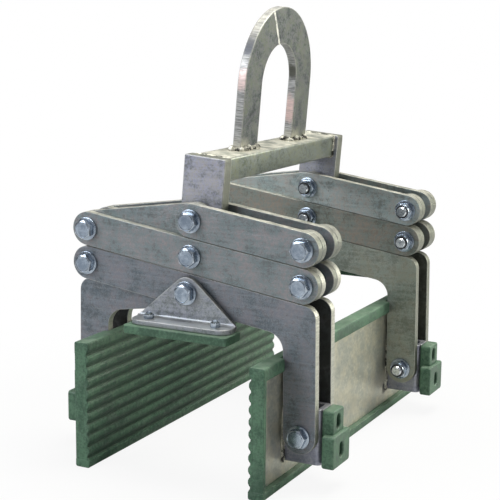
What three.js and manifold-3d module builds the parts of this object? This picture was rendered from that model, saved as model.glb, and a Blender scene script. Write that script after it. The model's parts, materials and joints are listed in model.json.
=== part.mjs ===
// Slab grab lifter: two scissor frames of steel plate under one hanger, with two rubber faced jaws.
// Millimetres, +Z up, +X across the jaw opening, +Y along the jaws, origin on the floor under the middle.
import * as THREE from "three";
import { mergeVertices } from "three/addons/utils/BufferGeometryUtils.js";
import Module from "manifold-3d";

const wasm = await Module();
wasm.setup();

// Links of the scissor frames
const LINK_PITCH = 170; // bolt to bolt on a top link, and from the middle to each end of a cross link
const LINK_WIDTH = 48;
const LINK_THICKNESS = 12;
const EDGE_GAP = 0.6; // between parallel links when the grab is fully open
const LAYER_GAP = 1; // between two links that cross
const FRAME_SHARE = 0.65; // front frame to rear frame, as a share of the jaws' length

// Legs
const LEG_DROP = 182.5; // from the lower middle bolt down to the jaw bolt
const ELBOW_INSET = 2.5; // the elbow sits a little inside the jaw bolt
const ELBOW_ROUND = 18;
const ELBOW_FILLET = 26;

// Bolts, washers and spacer sleeves
const BOLT_DIAMETER = 16;
const BOLT_PLAY = 0.5; // radial, in every hole
const HEAD_ACROSS_FLATS = 24;
const HEAD_HEIGHT = 10;
const NUT_HEIGHT = 13;
const STUD_PROUD = 5; // thread past the nut
const WASHER_DIAMETER = 33;
const WASHER_THICKNESS = 3;
const SLEEVE_DIAMETER = 26;
const SEAT_GAP = 0.3; // between faces that rest on each other

// Hanger: two posts, a cross beam and a lifting eye
const POST_WIDTH = 64;
const POST_THICKNESS = 20;
const POST_WASHER = 3.5; // spacer each side of a post, with its running gaps
const POST_HEIGHT = 86; // from the top bolt to the top of the beam
const BEAM_WIDTH = 50;
const BEAM_HEIGHT = 35;
const BEAM_CORNER = 3;
const EYE_OUTER_RADIUS = 112;
const EYE_INNER_RADIUS = 58;
const EYE_LEG_HEIGHT = 92;
const EYE_THICKNESS = 13;
const HANGER_LEAN_DEG = 4.5; // the hanger stands a little off upright on its clamped bolts

// Jaws: ribbed pad, steel back plate and two bearing brackets each
const JAW_OPENING = 250; // between the pads, fully open
const JAW_LENGTH = 600;
const JAW_HEIGHT = 182;
const JAW_PIN_HEIGHT = 74;
const PAD_DEPTH = 23; // crest of the ribs to the outer face of the lip
const RIB_COUNT = 11;
const RIB_DEPTH = 3;
const GROOVE_TOP = 6;
const GROOVE_FLOOR = 3;
const PAD_CHAMFER = 3;
const TOP_LIP = 18;
const BOTTOM_LIP = 12;
const END_LIP = 8;
const BACK_PLATE_THICKNESS = 8;
const BACK_PLATE_FACE = 15; // crest of the ribs to the outer face of the back plate
const LIP_NOTCH_MARGIN = 5; // past the leg plates, at each side
const BRACKET_BELOW = 41; // below the jaw bolt
const BRACKET_ABOVE = 37.5;
const BRACKET_REACH = 27; // from the jaw bolt to the outer end
const BRACKET_WALL = 8;
const BRACKET_SIDE_GAP = 1;

// Stepped rubber buffers on the outer ends of the brackets
const BUFFER_STANDOFF = 4.5; // keeps the lower block clear of the leg plates as they turn
const BUFFER_LOWER_WIDTH = 58;
const BUFFER_LOWER_THICKNESS = 17.5;
const BUFFER_SIDE_GAP = 1.5; // between the upper block and the leg plates beside it
const BUFFER_UPPER_THICKNESS = 17;
const BUFFER_STEP = 5.5; // height of the step above the jaw bolt
const BUFFER_UPPER_HEIGHT = 32.5;
const BUFFER_CORNER = 6;
const BUFFER_EDGE = 2.5;
const SLOT_WIDTH = 12;
const SLOT_HEIGHT = 21;
const SLOT_DEPTH = 10;
const LOWER_SLOT_DROP = 24; // from the step down to the middle of the lower slot
const UPPER_SLOT_RISE = 15; // from the step up to the middle of the upper slot

// Foot plates that rest on the slab
const FOOT_SHEET = 7;
const FOOT_WASHER = 4; // between a foot plate and the leg behind it, with its running gaps
const FOOT_APEX_RADIUS = 22;
const FOOT_BASE_WIDTH = 154;
const FOOT_DROP = 46; // from the lower middle bolt to the underside of the flange
const FOOT_FLANGE_DEPTH = 35;
const FOOT_CORNER = 16;
const FOOT_BEND = 5;
const FOOT_NUT_SPACING = 104;
const FOOT_NUT_ACROSS_FLATS = 13;
const FOOT_NUT_HEIGHT = 6.5;
const FOOT_STUD_DIAMETER = 8;
const FOOT_STUD_PROUD = 3;
const STRIP_WIDTH = 162;
const STRIP_DEPTH = 43;
const STRIP_THICKNESS = 12;
const STRIP_CORNER = 5;

// Facets of round shapes in a whole turn, and the overrun of every cut
const PLATE_FACETS = 20;
const EYE_FACETS = 40;
const HOLE_FACETS = 10;
const SHANK_FACETS = 10;
const WASHER_FACETS = 12;
const HEX_FACETS = 6;
const CUT_OVERRUN = 5;

// Worked out from the sizes above
const halfTurn = Math.PI;
const quarterTurn = halfTurn / 2;
const openAngle = Math.asin((LINK_WIDTH + EDGE_GAP) / LINK_PITCH) / 2;
const halfSpan = LINK_PITCH * Math.cos(openAngle);
const halfRise = LINK_PITCH * Math.sin(openAngle);
const linkRadius = LINK_WIDTH / 2;
const boltRadius = BOLT_DIAMETER / 2;
const holeRadius = boltRadius + BOLT_PLAY;
const postGap = POST_THICKNESS + 2 * POST_WASHER;
const legGap = LINK_THICKNESS + LAYER_GAP + postGap;
const stackDepth = 4 * LINK_THICKNESS + 2 * LAYER_GAP + postGap;
const framePitch = FRAME_SHARE * JAW_LENGTH;
const frontFace = -(framePitch + stackDepth) / 2;
const rearFace = frontFace + framePitch;

// The outer side of each frame, where the bolt heads and the foot plate are
const frames = [
  { name: "front", y: frontFace, headSide: -1 },
  { name: "rear", y: rearFace, headSide: 1 },
];

// Front face of each of the four plate layers, from the front of its frame
const layerStep = LINK_THICKNESS + LAYER_GAP;
const innerStart = layerStep + LINK_THICKNESS + postGap;
const layers = [0, layerStep, innerStart, innerStart + layerStep];
const middleGap = [layerStep + LINK_THICKNESS, innerStart];

// Bolt centres in the X-Z plane, fully open
const lowerMiddle = new THREE.Vector2(0, JAW_PIN_HEIGHT + LEG_DROP);
const middle = new THREE.Vector2(0, lowerMiddle.y + 2 * halfRise);
const top = new THREE.Vector2(0, middle.y + 2 * halfRise);
const upperLeft = new THREE.Vector2(-halfSpan, middle.y + halfRise);
const upperRight = new THREE.Vector2(halfSpan, middle.y + halfRise);
const lowerLeft = new THREE.Vector2(-halfSpan, middle.y - halfRise);
const lowerRight = new THREE.Vector2(halfSpan, middle.y - halfRise);
const jawRight = new THREE.Vector2(halfSpan, JAW_PIN_HEIGHT);
const jawLeft = new THREE.Vector2(-halfSpan, JAW_PIN_HEIGHT);
const padFace = JAW_OPENING / 2;

// Finishes
const zincPlate = new THREE.MeshStandardMaterial({ color: 0x7b7f80, roughness: 0.5, metalness: 0.85 });
const zincBolt = new THREE.MeshStandardMaterial({ color: 0xaab4bf, roughness: 0.3, metalness: 0.95 });
const padRubber = new THREE.MeshStandardMaterial({ color: 0x3f6b50, roughness: 0.75, metalness: 0 });
const bufferRubber = new THREE.MeshStandardMaterial({ color: 0x47775a, roughness: 0.65, metalness: 0 });

const grab = new THREE.Group();

// Solids for joins and cuts
function solidOf(geometry) {
  const bare = geometry.clone();
  bare.deleteAttribute("normal");
  bare.deleteAttribute("uv");
  const merged = mergeVertices(bare);
  return new wasm.Manifold(
    new wasm.Mesh({
      numProp: 3,
      vertProperties: merged.attributes.position.array,
      triVerts: new Uint32Array(merged.index.array),
    }),
  );
}

function geometryOf(solid) {
  const mesh = solid.getMesh();
  const geometry = new THREE.BufferGeometry();
  geometry.setAttribute("position", new THREE.BufferAttribute(new Float32Array(mesh.vertProperties), 3));
  geometry.setIndex(new THREE.BufferAttribute(new Uint32Array(mesh.triVerts), 1));
  geometry.computeVertexNormals();
  return geometry;
}

function join(geometries) {
  return geometryOf(geometries.map(solidOf).reduce((whole, piece) => whole.add(piece)));
}

function cut(body, tools) {
  return geometryOf(tools.map(solidOf).reduce((rest, tool) => rest.subtract(tool), solidOf(body)));
}

function addMesh(parent, name, geometry, material) {
  const mesh = new THREE.Mesh(geometry, material);
  mesh.name = name;
  parent.add(mesh);
  return mesh;
}

// Points of an arc from one angle to another, in facets of even length
function arc(centre, radius, from, to, facets) {
  const steps = Math.max(1, Math.round((facets * Math.abs(to - from)) / (2 * halfTurn)));
  return Array.from({ length: steps + 1 }, (_, i) => {
    const angle = from + ((to - from) * i) / steps;
    const x = centre.x + radius * Math.cos(angle);
    const y = centre.y + radius * Math.sin(angle);
    return new THREE.Vector2(x, y);
  });
}

function roundHole(centre, radius) {
  return new THREE.Path(arc(centre, radius, 0, 2 * halfTurn, HOLE_FACETS).slice(1));
}

function extrude(shape, depth) {
  return new THREE.ExtrudeGeometry(shape, { depth, bevelEnabled: false });
}

// A shape drawn in X-Z, given its thickness towards +Y from the face at y
function plateGeometry(shape, thickness, y) {
  return extrude(shape, thickness)
    .rotateX(quarterTurn)
    .translate(0, y + thickness, 0);
}

// A shape drawn in Y-Z, given its thickness towards +X from x = 0
function crossPlateGeometry(geometry) {
  return geometry.rotateX(quarterTurn).rotateZ(quarterTurn);
}

function boxBetween(low, high) {
  const size = new THREE.Vector3().subVectors(high, low);
  const centre = new THREE.Vector3().addVectors(low, high).multiplyScalar(1 / 2);
  return new THREE.BoxGeometry(size.x, size.y, size.z).translate(centre.x, centre.y, centre.z);
}

// A disc or hexagon about the Y axis between two places along it
function roundBetween(radius, from, to, facets) {
  return new THREE.CylinderGeometry(radius, radius, Math.abs(to - from), facets).translate(
    0,
    (from + to) / 2,
    0,
  );
}

function hexRadius(acrossFlats) {
  return acrossFlats / 2 / Math.cos(halfTurn / HEX_FACETS);
}

// A rectangle with its corners cut off, centred on x, from its bottom to its crown
function chamferedShape(width, bottom, crown, chamfer) {
  const half = width / 2;
  const corners = [
    [chamfer - half, bottom],
    [half - chamfer, bottom],
    [half, bottom + chamfer],
    [half, crown - chamfer],
    [half - chamfer, crown],
    [chamfer - half, crown],
    [-half, crown - chamfer],
    [-half, bottom + chamfer],
  ];
  return new THREE.Shape(corners.map(([x, y]) => new THREE.Vector2(x, y)));
}

// A straight link with round ends: two half circles about its end bolts, joined by straight edges
function linkShape(from, to, holes) {
  const angle = new THREE.Vector2().subVectors(to, from).angle();
  const shape = new THREE.Shape([
    ...arc(from, linkRadius, angle + quarterTurn, angle + 3 * quarterTurn, PLATE_FACETS),
    ...arc(to, linkRadius, angle - quarterTurn, angle + quarterTurn, PLATE_FACETS),
  ]);
  shape.holes = holes.map((centre) => roundHole(centre, holeRadius));
  return shape;
}

// Where two lines cross once both are moved along their unit normals by the same offset
function offsetCorner(corner, normalA, normalB, offset) {
  const spread = offset / (1 + normalA.dot(normalB));
  return new THREE.Vector2().addVectors(normalA, normalB).multiplyScalar(spread).add(corner);
}

// The right leg: an arm from the lower left bolt through the lower middle one, an elbow, and a leg
// down to the jaw bolt. The left leg is its mirror image.
function legShape(mirror) {
  const slope = (lowerMiddle.y - lowerLeft.y) / (lowerMiddle.x - lowerLeft.x);
  const elbowX = jawRight.x - ELBOW_INSET;
  const elbow = new THREE.Vector2(elbowX, lowerMiddle.y + slope * (elbowX - lowerMiddle.x));
  const arm = new THREE.Vector2().subVectors(elbow, lowerLeft).normalize();
  const leg = new THREE.Vector2().subVectors(jawRight, elbow).normalize();
  const armNormal = new THREE.Vector2(-arm.y, arm.x);
  const legNormal = new THREE.Vector2(-leg.y, leg.x);
  const up = Math.atan2(armNormal.y, armNormal.x);
  const out = Math.atan2(legNormal.y, legNormal.x);
  const outer = offsetCorner(elbow, armNormal, legNormal, linkRadius - ELBOW_ROUND);
  const inner = offsetCorner(elbow, armNormal, legNormal, -linkRadius - ELBOW_FILLET);
  const points = [
    ...arc(lowerLeft, linkRadius, up + halfTurn, up, PLATE_FACETS),
    ...arc(outer, ELBOW_ROUND, up, out, PLATE_FACETS),
    ...arc(jawRight, linkRadius, out, out - halfTurn, PLATE_FACETS),
    ...arc(inner, ELBOW_FILLET, out, up, PLATE_FACETS),
  ];
  const flip = (point) => new THREE.Vector2(mirror * point.x, point.y);
  const shape = new THREE.Shape(points.map(flip));
  const bolts = [lowerLeft, lowerMiddle, jawRight];
  shape.holes = bolts.map((centre) => roundHole(flip(centre), holeRadius));
  return shape;
}

// Each link is a pair of plates, one in front of the hanger post and one behind it
function addLinkPairs(frame) {
  const links = [
    ["top_link_right", linkShape(top, upperRight, [top, upperRight]), 0],
    ["top_link_left", linkShape(top, upperLeft, [top, upperLeft]), 1],
    ["cross_link_a", linkShape(upperLeft, lowerRight, [upperLeft, middle, lowerRight]), 0],
    ["cross_link_b", linkShape(upperRight, lowerLeft, [upperRight, middle, lowerLeft]), 1],
    ["leg_right", legShape(1), 0],
    ["leg_left", legShape(-1), 1],
  ];
  for (const [name, shape, layer] of links) {
    const ahead = plateGeometry(shape, LINK_THICKNESS, frame.y + layers[layer]);
    const behind = plateGeometry(shape, LINK_THICKNESS, frame.y + layers[layer + 2]);
    addMesh(grab, `${frame.name}_${name}_1`, ahead, zincPlate);
    addMesh(grab, `${frame.name}_${name}_2`, behind, zincPlate);
  }
}

// A through bolt with its head, nut and washers, and the spacers that fill the gaps along it
function boltGeometry(headFace, nutFace, spacers) {
  const out = Math.sign(headFace - nutFace);
  const washerSeat = headFace + out * SEAT_GAP;
  const headSeat = washerSeat + out * WASHER_THICKNESS;
  const headEnd = headSeat + out * HEAD_HEIGHT;
  const nutWasher = nutFace - out * SEAT_GAP;
  const nutSeat = nutWasher - out * WASHER_THICKNESS;
  const nutEnd = nutSeat - out * NUT_HEIGHT;
  const hex = hexRadius(HEAD_ACROSS_FLATS);
  const pieces = [
    roundBetween(boltRadius, headSeat, nutEnd - out * STUD_PROUD, SHANK_FACETS),
    roundBetween(hex, headSeat, headEnd, HEX_FACETS),
    roundBetween(hex, nutSeat, nutEnd, HEX_FACETS),
    roundBetween(WASHER_DIAMETER / 2, washerSeat, headSeat, WASHER_FACETS),
    roundBetween(WASHER_DIAMETER / 2, nutWasher, nutSeat, WASHER_FACETS),
  ];
  for (const [diameter, from, to] of spacers) {
    pieces.push(roundBetween(diameter / 2, from + SEAT_GAP, to - SEAT_GAP, WASHER_FACETS));
  }
  return join(pieces);
}

// The nine bolts of a frame. Heads are outside; the foot bolt also carries the foot plate.
function addBolts(frame) {
  const atFront = frame.headSide < 0;
  const footReach = FOOT_WASHER + FOOT_SHEET;
  const footSpan = atFront ? [-footReach, stackDepth] : [0, stackDepth + footReach];
  const footGap = atFront ? [-FOOT_WASHER, 0] : [stackDepth, stackDepth + FOOT_WASHER];
  const jawSpan = innerStart + LINK_THICKNESS;
  const fullSpan = [0, stackDepth];
  const sleeve = [SLEEVE_DIAMETER, ...middleGap];
  const postSpacers = [
    [WASHER_DIAMETER, middleGap[0], middleGap[0] + POST_WASHER],
    [WASHER_DIAMETER, middleGap[1] - POST_WASHER, middleGap[1]],
  ];
  const bolts = [
    ["bolt_top", top, fullSpan, postSpacers],
    ["bolt_upper_left", upperLeft, fullSpan, [sleeve]],
    ["bolt_upper_right", upperRight, fullSpan, [sleeve]],
    ["bolt_middle", middle, fullSpan, [sleeve]],
    ["bolt_lower_left", lowerLeft, fullSpan, [sleeve]],
    ["bolt_lower_right", lowerRight, fullSpan, [sleeve]],
    ["bolt_foot", lowerMiddle, footSpan, [sleeve, [WASHER_DIAMETER, ...footGap]]],
    ["bolt_jaw_right", jawRight, [0, jawSpan], []],
    ["bolt_jaw_left", jawLeft, [layerStep, layerStep + jawSpan], []],
  ];
  for (const [name, place, span, spacers] of bolts) {
    const [headFace, nutFace] = atFront ? span : [span[1], span[0]];
    const geometry = boltGeometry(headFace, nutFace, spacers);
    const bolt = addMesh(grab, `${frame.name}_${name}`, geometry, zincBolt);
    bolt.position.set(place.x, frame.y, place.y);
  }
}

// A post: round about the top bolt, straight up to the top of the beam
function postShape() {
  const half = POST_WIDTH / 2;
  const centre = new THREE.Vector2();
  const shape = new THREE.Shape([
    ...arc(centre, half, halfTurn, 2 * halfTurn, PLATE_FACETS),
    new THREE.Vector2(half, POST_HEIGHT),
    new THREE.Vector2(-half, POST_HEIGHT),
  ]);
  shape.holes = [roundHole(centre, holeRadius)];
  return shape;
}

// The lifting eye: a broad arch of plate that stands on the beam
function eyeGeometry() {
  const centre = new THREE.Vector2(0, EYE_LEG_HEIGHT);
  const shape = new THREE.Shape([
    new THREE.Vector2(EYE_OUTER_RADIUS, 0),
    ...arc(centre, EYE_OUTER_RADIUS, 0, halfTurn, EYE_FACETS),
    new THREE.Vector2(-EYE_OUTER_RADIUS, 0),
    new THREE.Vector2(-EYE_INNER_RADIUS, 0),
    ...arc(centre, EYE_INNER_RADIUS, halfTurn, 0, EYE_FACETS),
    new THREE.Vector2(EYE_INNER_RADIUS, 0),
  ]);
  return crossPlateGeometry(extrude(shape, EYE_THICKNESS)).translate(
    -EYE_THICKNESS / 2,
    0,
    POST_HEIGHT + SEAT_GAP,
  );
}

// The hanger turns as one about the two top bolts
function addHanger() {
  const hanger = new THREE.Group();
  hanger.position.set(0, 0, top.y);
  hanger.rotation.y = THREE.MathUtils.degToRad(HANGER_LEAN_DEG);
  grab.add(hanger);
  const postStart = middleGap[0] + POST_WASHER;
  for (const frame of frames) {
    const post = plateGeometry(postShape(), POST_THICKNESS, frame.y + postStart);
    addMesh(hanger, `${frame.name}_post`, post, zincPlate);
  }
  const beamStart = frontFace + postStart + POST_THICKNESS + SEAT_GAP;
  const beamEnd = rearFace + postStart - SEAT_GAP;
  const section = chamferedShape(BEAM_WIDTH, POST_HEIGHT - BEAM_HEIGHT, POST_HEIGHT, BEAM_CORNER);
  addMesh(hanger, "cross_beam", plateGeometry(section, beamEnd - beamStart, beamStart), zincPlate);
  addMesh(hanger, "lifting_eye", eyeGeometry(), zincPlate);
}

// The pad's section: a row of flat topped ribs on the grip face at x = 0, plain at the back
function padShape() {
  const pitch = JAW_HEIGHT / RIB_COUNT;
  const points = [
    [0, PAD_CHAMFER],
    [PAD_CHAMFER, 0],
    [PAD_DEPTH - PAD_CHAMFER, 0],
    [PAD_DEPTH, PAD_CHAMFER],
    [PAD_DEPTH, JAW_HEIGHT - PAD_CHAMFER],
    [PAD_DEPTH - PAD_CHAMFER, JAW_HEIGHT],
    [PAD_CHAMFER, JAW_HEIGHT],
    [0, JAW_HEIGHT - PAD_CHAMFER],
  ];
  for (let i = RIB_COUNT - 1; i > 0; i--) {
    const groove = i * pitch;
    points.push(
      [0, groove + GROOVE_TOP / 2],
      [RIB_DEPTH, groove + GROOVE_FLOOR / 2],
      [RIB_DEPTH, groove - GROOVE_FLOOR / 2],
      [0, groove - GROOVE_TOP / 2],
    );
  }
  return new THREE.Shape(points.map(([x, y]) => new THREE.Vector2(x, y)));
}

// The pad of the right jaw, with a pocket at the back for the steel plate and, past each pair of
// leg plates, a notch in its top lip
function padGeometry(legs) {
  const half = JAW_LENGTH / 2;
  const pocketStart = BACK_PLATE_FACE - BACK_PLATE_THICKNESS;
  const outside = PAD_DEPTH + CUT_OVERRUN;
  const lipBottom = JAW_HEIGHT - TOP_LIP;
  const tools = [
    boxBetween(
      new THREE.Vector3(pocketStart, -half + END_LIP, BOTTOM_LIP),
      new THREE.Vector3(outside, half - END_LIP, lipBottom),
    ),
  ];
  for (const [from, to] of legs) {
    tools.push(
      boxBetween(
        new THREE.Vector3(BACK_PLATE_FACE, from - LIP_NOTCH_MARGIN, lipBottom - CUT_OVERRUN),
        new THREE.Vector3(outside, to + LIP_NOTCH_MARGIN, JAW_HEIGHT + CUT_OVERRUN),
      ),
    );
  }
  return cut(plateGeometry(padShape(), JAW_LENGTH, -half), tools);
}

// The steel of the right jaw: a back plate and, at each frame, a channel that carries the jaw bolt
function jawPlateGeometry(brackets) {
  const half = JAW_LENGTH / 2 - END_LIP - SEAT_GAP;
  const pinX = halfSpan - padFace;
  const start = BACK_PLATE_FACE - BACK_PLATE_THICKNESS / 2;
  const end = pinX + BRACKET_REACH;
  const low = JAW_PIN_HEIGHT - BRACKET_BELOW;
  const high = JAW_PIN_HEIGHT + BRACKET_ABOVE;
  const pieces = [
    boxBetween(
      new THREE.Vector3(BACK_PLATE_FACE - BACK_PLATE_THICKNESS + SEAT_GAP, -half, BOTTOM_LIP + SEAT_GAP),
      new THREE.Vector3(BACK_PLATE_FACE, half, JAW_HEIGHT - TOP_LIP - SEAT_GAP),
    ),
  ];
  const holes = [];
  for (const [from, to] of brackets) {
    const walls = [
      [start, from, from + BRACKET_WALL],
      [start, to - BRACKET_WALL, to],
      [end - BRACKET_WALL, from, to],
    ];
    for (const [x, y0, y1] of walls) {
      pieces.push(boxBetween(new THREE.Vector3(x, y0, low), new THREE.Vector3(end, y1, high)));
    }
    const hole = roundBetween(holeRadius, from - CUT_OVERRUN, to + CUT_OVERRUN, HOLE_FACETS);
    holes.push(hole.translate(pinX, 0, JAW_PIN_HEIGHT));
  }
  return cut(join(pieces), holes);
}

// A buffer block with softened edges, drawn in X-Y and built out from z = 0 to its thickness
function bufferBlock(width, bottom, crown, thickness) {
  const shape = chamferedShape(
    width - 2 * BUFFER_EDGE,
    bottom + BUFFER_EDGE,
    crown - BUFFER_EDGE,
    BUFFER_CORNER - BUFFER_EDGE,
  );
  const block = new THREE.ExtrudeGeometry(shape, {
    depth: thickness - 2 * BUFFER_EDGE,
    bevelThickness: BUFFER_EDGE,
    bevelSize: BUFFER_EDGE,
    bevelSegments: 2,
  });
  return block.translate(0, 0, BUFFER_EDGE);
}

// An upright slot with round ends, cut into the outer face of a buffer block
function slotGeometry(height, face) {
  const radius = SLOT_WIDTH / 2;
  const reach = SLOT_HEIGHT / 2 - radius;
  const shape = new THREE.Shape([
    ...arc(new THREE.Vector2(0, height + reach), radius, 0, halfTurn, HOLE_FACETS),
    ...arc(new THREE.Vector2(0, height - reach), radius, halfTurn, 2 * halfTurn, HOLE_FACETS),
  ]);
  return extrude(shape, SLOT_DEPTH + CUT_OVERRUN).translate(0, 0, face - SLOT_DEPTH);
}

// A buffer: a spine as wide as fits between the leg plates, a broad block in front of its lower
// part, and a slot in each outer face
function bufferGeometry() {
  const bottom = JAW_PIN_HEIGHT - BRACKET_BELOW;
  const step = JAW_PIN_HEIGHT + BUFFER_STEP;
  const crown = step + BUFFER_UPPER_HEIGHT;
  const spineWidth = legGap - 2 * BUFFER_SIDE_GAP;
  const spine = bufferBlock(spineWidth, bottom + BUFFER_CORNER, crown, BUFFER_UPPER_THICKNESS);
  const block = bufferBlock(BUFFER_LOWER_WIDTH, bottom, step, BUFFER_LOWER_THICKNESS);
  block.translate(0, 0, BUFFER_STANDOFF);
  const slots = [
    slotGeometry(step - LOWER_SLOT_DROP, BUFFER_STANDOFF + BUFFER_LOWER_THICKNESS),
    slotGeometry(step + UPPER_SLOT_RISE, BUFFER_UPPER_THICKNESS),
  ];
  return crossPlateGeometry(cut(join([spine, block]), slots));
}

// One jaw, built as the right one; the left one is the same jaw turned half round about Z
function addJaw(side, layer) {
  const jaw = new THREE.Group();
  const sign = side === "left" ? -1 : 1;
  jaw.position.set(sign * padFace, 0, 0);
  jaw.rotation.z = side === "left" ? halfTurn : 0;
  grab.add(jaw);
  const legs = frames.map((frame) => {
    const faces = [frame.y + layers[layer], frame.y + layers[layer + 2] + LINK_THICKNESS];
    return faces.map((y) => sign * y).sort((a, b) => a - b);
  });
  const inset = LINK_THICKNESS + BRACKET_SIDE_GAP;
  const brackets = legs.map(([from, to]) => [from + inset, to - inset]);
  addMesh(jaw, `${side}_jaw_pad`, padGeometry(legs), padRubber);
  addMesh(jaw, `${side}_jaw_plate`, jawPlateGeometry(brackets), zincPlate);
  const reach = halfSpan - padFace + BRACKET_REACH + SEAT_GAP;
  brackets.forEach(([from, to], i) => {
    const name = `${frames[i].name}_${side}_buffer`;
    const buffer = addMesh(jaw, name, bufferGeometry(), bufferRubber);
    buffer.position.set(reach, (from + to) / 2, 0);
  });
}

// A slab with its back edge on y = 0, reaching towards -Y, with its two front corners rounded
function roundedSlab(width, depth, thickness, corner) {
  const half = width / 2;
  const leftCorner = new THREE.Vector2(corner - half, corner - depth);
  const rightCorner = new THREE.Vector2(half - corner, corner - depth);
  const shape = new THREE.Shape([
    new THREE.Vector2(half, 0),
    new THREE.Vector2(-half, 0),
    ...arc(leftCorner, corner, halfTurn, 3 * quarterTurn, PLATE_FACETS),
    ...arc(rightCorner, corner, 3 * quarterTurn, 2 * halfTurn, PLATE_FACETS),
  ]);
  return extrude(shape, thickness);
}

// The inside of the bend between a foot plate and its flange
function bendGeometry() {
  const centre = new THREE.Vector2(FOOT_BEND, FOOT_BEND);
  const shape = new THREE.Shape([
    new THREE.Vector2(),
    ...arc(centre, FOOT_BEND, -quarterTurn, -halfTurn, PLATE_FACETS),
  ]);
  const length = FOOT_BASE_WIDTH - 2 * (FOOT_BEND + FOOT_SHEET);
  return extrude(shape, length)
    .translate(0, 0, -length / 2)
    .rotateX(quarterTurn)
    .rotateZ(-quarterTurn);
}

// A bent foot plate, its back on y = 0: a triangle with a round apex about the bolt, a flange along
// its base, and the two nuts that hold the rubber strip under the flange
function footPlateGeometry() {
  const half = FOOT_BASE_WIDTH / 2;
  const base = lowerMiddle.y - FOOT_DROP;
  const flangeTop = base + FOOT_SHEET;
  const rise = lowerMiddle.y - flangeTop;
  const apexStart = Math.acos(FOOT_APEX_RADIUS / Math.hypot(half, rise)) - Math.atan2(rise, half);
  const shape = new THREE.Shape([
    new THREE.Vector2(-half, base),
    new THREE.Vector2(half, base),
    new THREE.Vector2(half, flangeTop),
    ...arc(lowerMiddle, FOOT_APEX_RADIUS, apexStart, halfTurn - apexStart, PLATE_FACETS),
    new THREE.Vector2(-half, flangeTop),
  ]);
  shape.holes = [roundHole(lowerMiddle, holeRadius)];
  const pieces = [
    plateGeometry(shape, FOOT_SHEET, -FOOT_SHEET),
    roundedSlab(FOOT_BASE_WIDTH, FOOT_FLANGE_DEPTH, FOOT_SHEET, FOOT_CORNER).translate(0, 0, base),
    bendGeometry().translate(0, -FOOT_SHEET, flangeTop),
  ];
  const nutY = -(FOOT_SHEET + FOOT_BEND + hexRadius(FOOT_NUT_ACROSS_FLATS));
  const nutTop = FOOT_SHEET + FOOT_NUT_HEIGHT;
  const rounds = [
    [hexRadius(FOOT_NUT_ACROSS_FLATS), nutTop, HEX_FACETS],
    [FOOT_STUD_DIAMETER / 2, nutTop + FOOT_STUD_PROUD, SHANK_FACETS],
  ];
  for (const nutX of [-FOOT_NUT_SPACING / 2, FOOT_NUT_SPACING / 2]) {
    for (const [radius, height, facets] of rounds) {
      const round = roundBetween(radius, FOOT_SHEET / 2, height, facets).rotateX(quarterTurn);
      pieces.push(round.translate(nutX, nutY, base));
    }
  }
  return join(pieces);
}

// The front foot plate faces the front; the rear one is the same plate turned half round about Z
function addFoot(frame) {
  const foot = new THREE.Group();
  const atFront = frame.headSide < 0;
  const outside = atFront ? frame.y - FOOT_WASHER : frame.y + stackDepth + FOOT_WASHER;
  foot.position.set(0, outside, 0);
  foot.rotation.z = atFront ? 0 : halfTurn;
  grab.add(foot);
  addMesh(foot, `${frame.name}_foot_plate`, footPlateGeometry(), zincPlate);
  const strip = roundedSlab(STRIP_WIDTH, STRIP_DEPTH, STRIP_THICKNESS, STRIP_CORNER);
  strip.translate(0, 0, lowerMiddle.y - FOOT_DROP - SEAT_GAP - STRIP_THICKNESS);
  addMesh(foot, `${frame.name}_foot_strip`, strip, padRubber);
}

for (const frame of frames) {
  addLinkPairs(frame);
  addBolts(frame);
  addFoot(frame);
}
addHanger();
addJaw("right", 0);
addJaw("left", 1);

export default grab;
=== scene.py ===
"""Slab grab lifter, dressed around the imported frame: bolted link frames, welded hanger and ribbed jaws.

Shapes are worked out in millimetres as whole numpy arrays and written to meshes in metres. X runs across
the jaw opening, Y along the jaws to the rear and Z up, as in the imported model.
"""

import json
import logging
import math
from dataclasses import dataclass, replace
from enum import Enum
from typing import Callable, Sequence

import bmesh
import bpy
import numpy as np
from mathutils import Matrix, Vector
from mathutils.geometry import delaunay_2d_cdt


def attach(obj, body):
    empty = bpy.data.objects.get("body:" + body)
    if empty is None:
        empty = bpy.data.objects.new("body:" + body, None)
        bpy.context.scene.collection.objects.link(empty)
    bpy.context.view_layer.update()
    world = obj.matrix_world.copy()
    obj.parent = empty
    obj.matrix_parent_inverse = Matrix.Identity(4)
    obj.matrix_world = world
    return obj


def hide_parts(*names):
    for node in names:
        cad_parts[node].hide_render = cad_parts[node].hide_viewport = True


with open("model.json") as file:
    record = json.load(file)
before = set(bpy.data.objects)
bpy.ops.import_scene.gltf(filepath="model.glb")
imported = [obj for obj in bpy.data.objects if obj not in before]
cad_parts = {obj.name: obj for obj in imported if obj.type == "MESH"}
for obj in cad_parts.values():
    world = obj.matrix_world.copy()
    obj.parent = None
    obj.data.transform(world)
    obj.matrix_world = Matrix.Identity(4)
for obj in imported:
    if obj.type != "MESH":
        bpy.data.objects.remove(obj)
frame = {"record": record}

logging.basicConfig(level=logging.INFO, format="%(name)s: %(message)s")
LOG = logging.getLogger("slab_grab")

Array = np.ndarray
Colour = tuple[float, float, float]
Socket = bpy.types.NodeSocket

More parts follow.
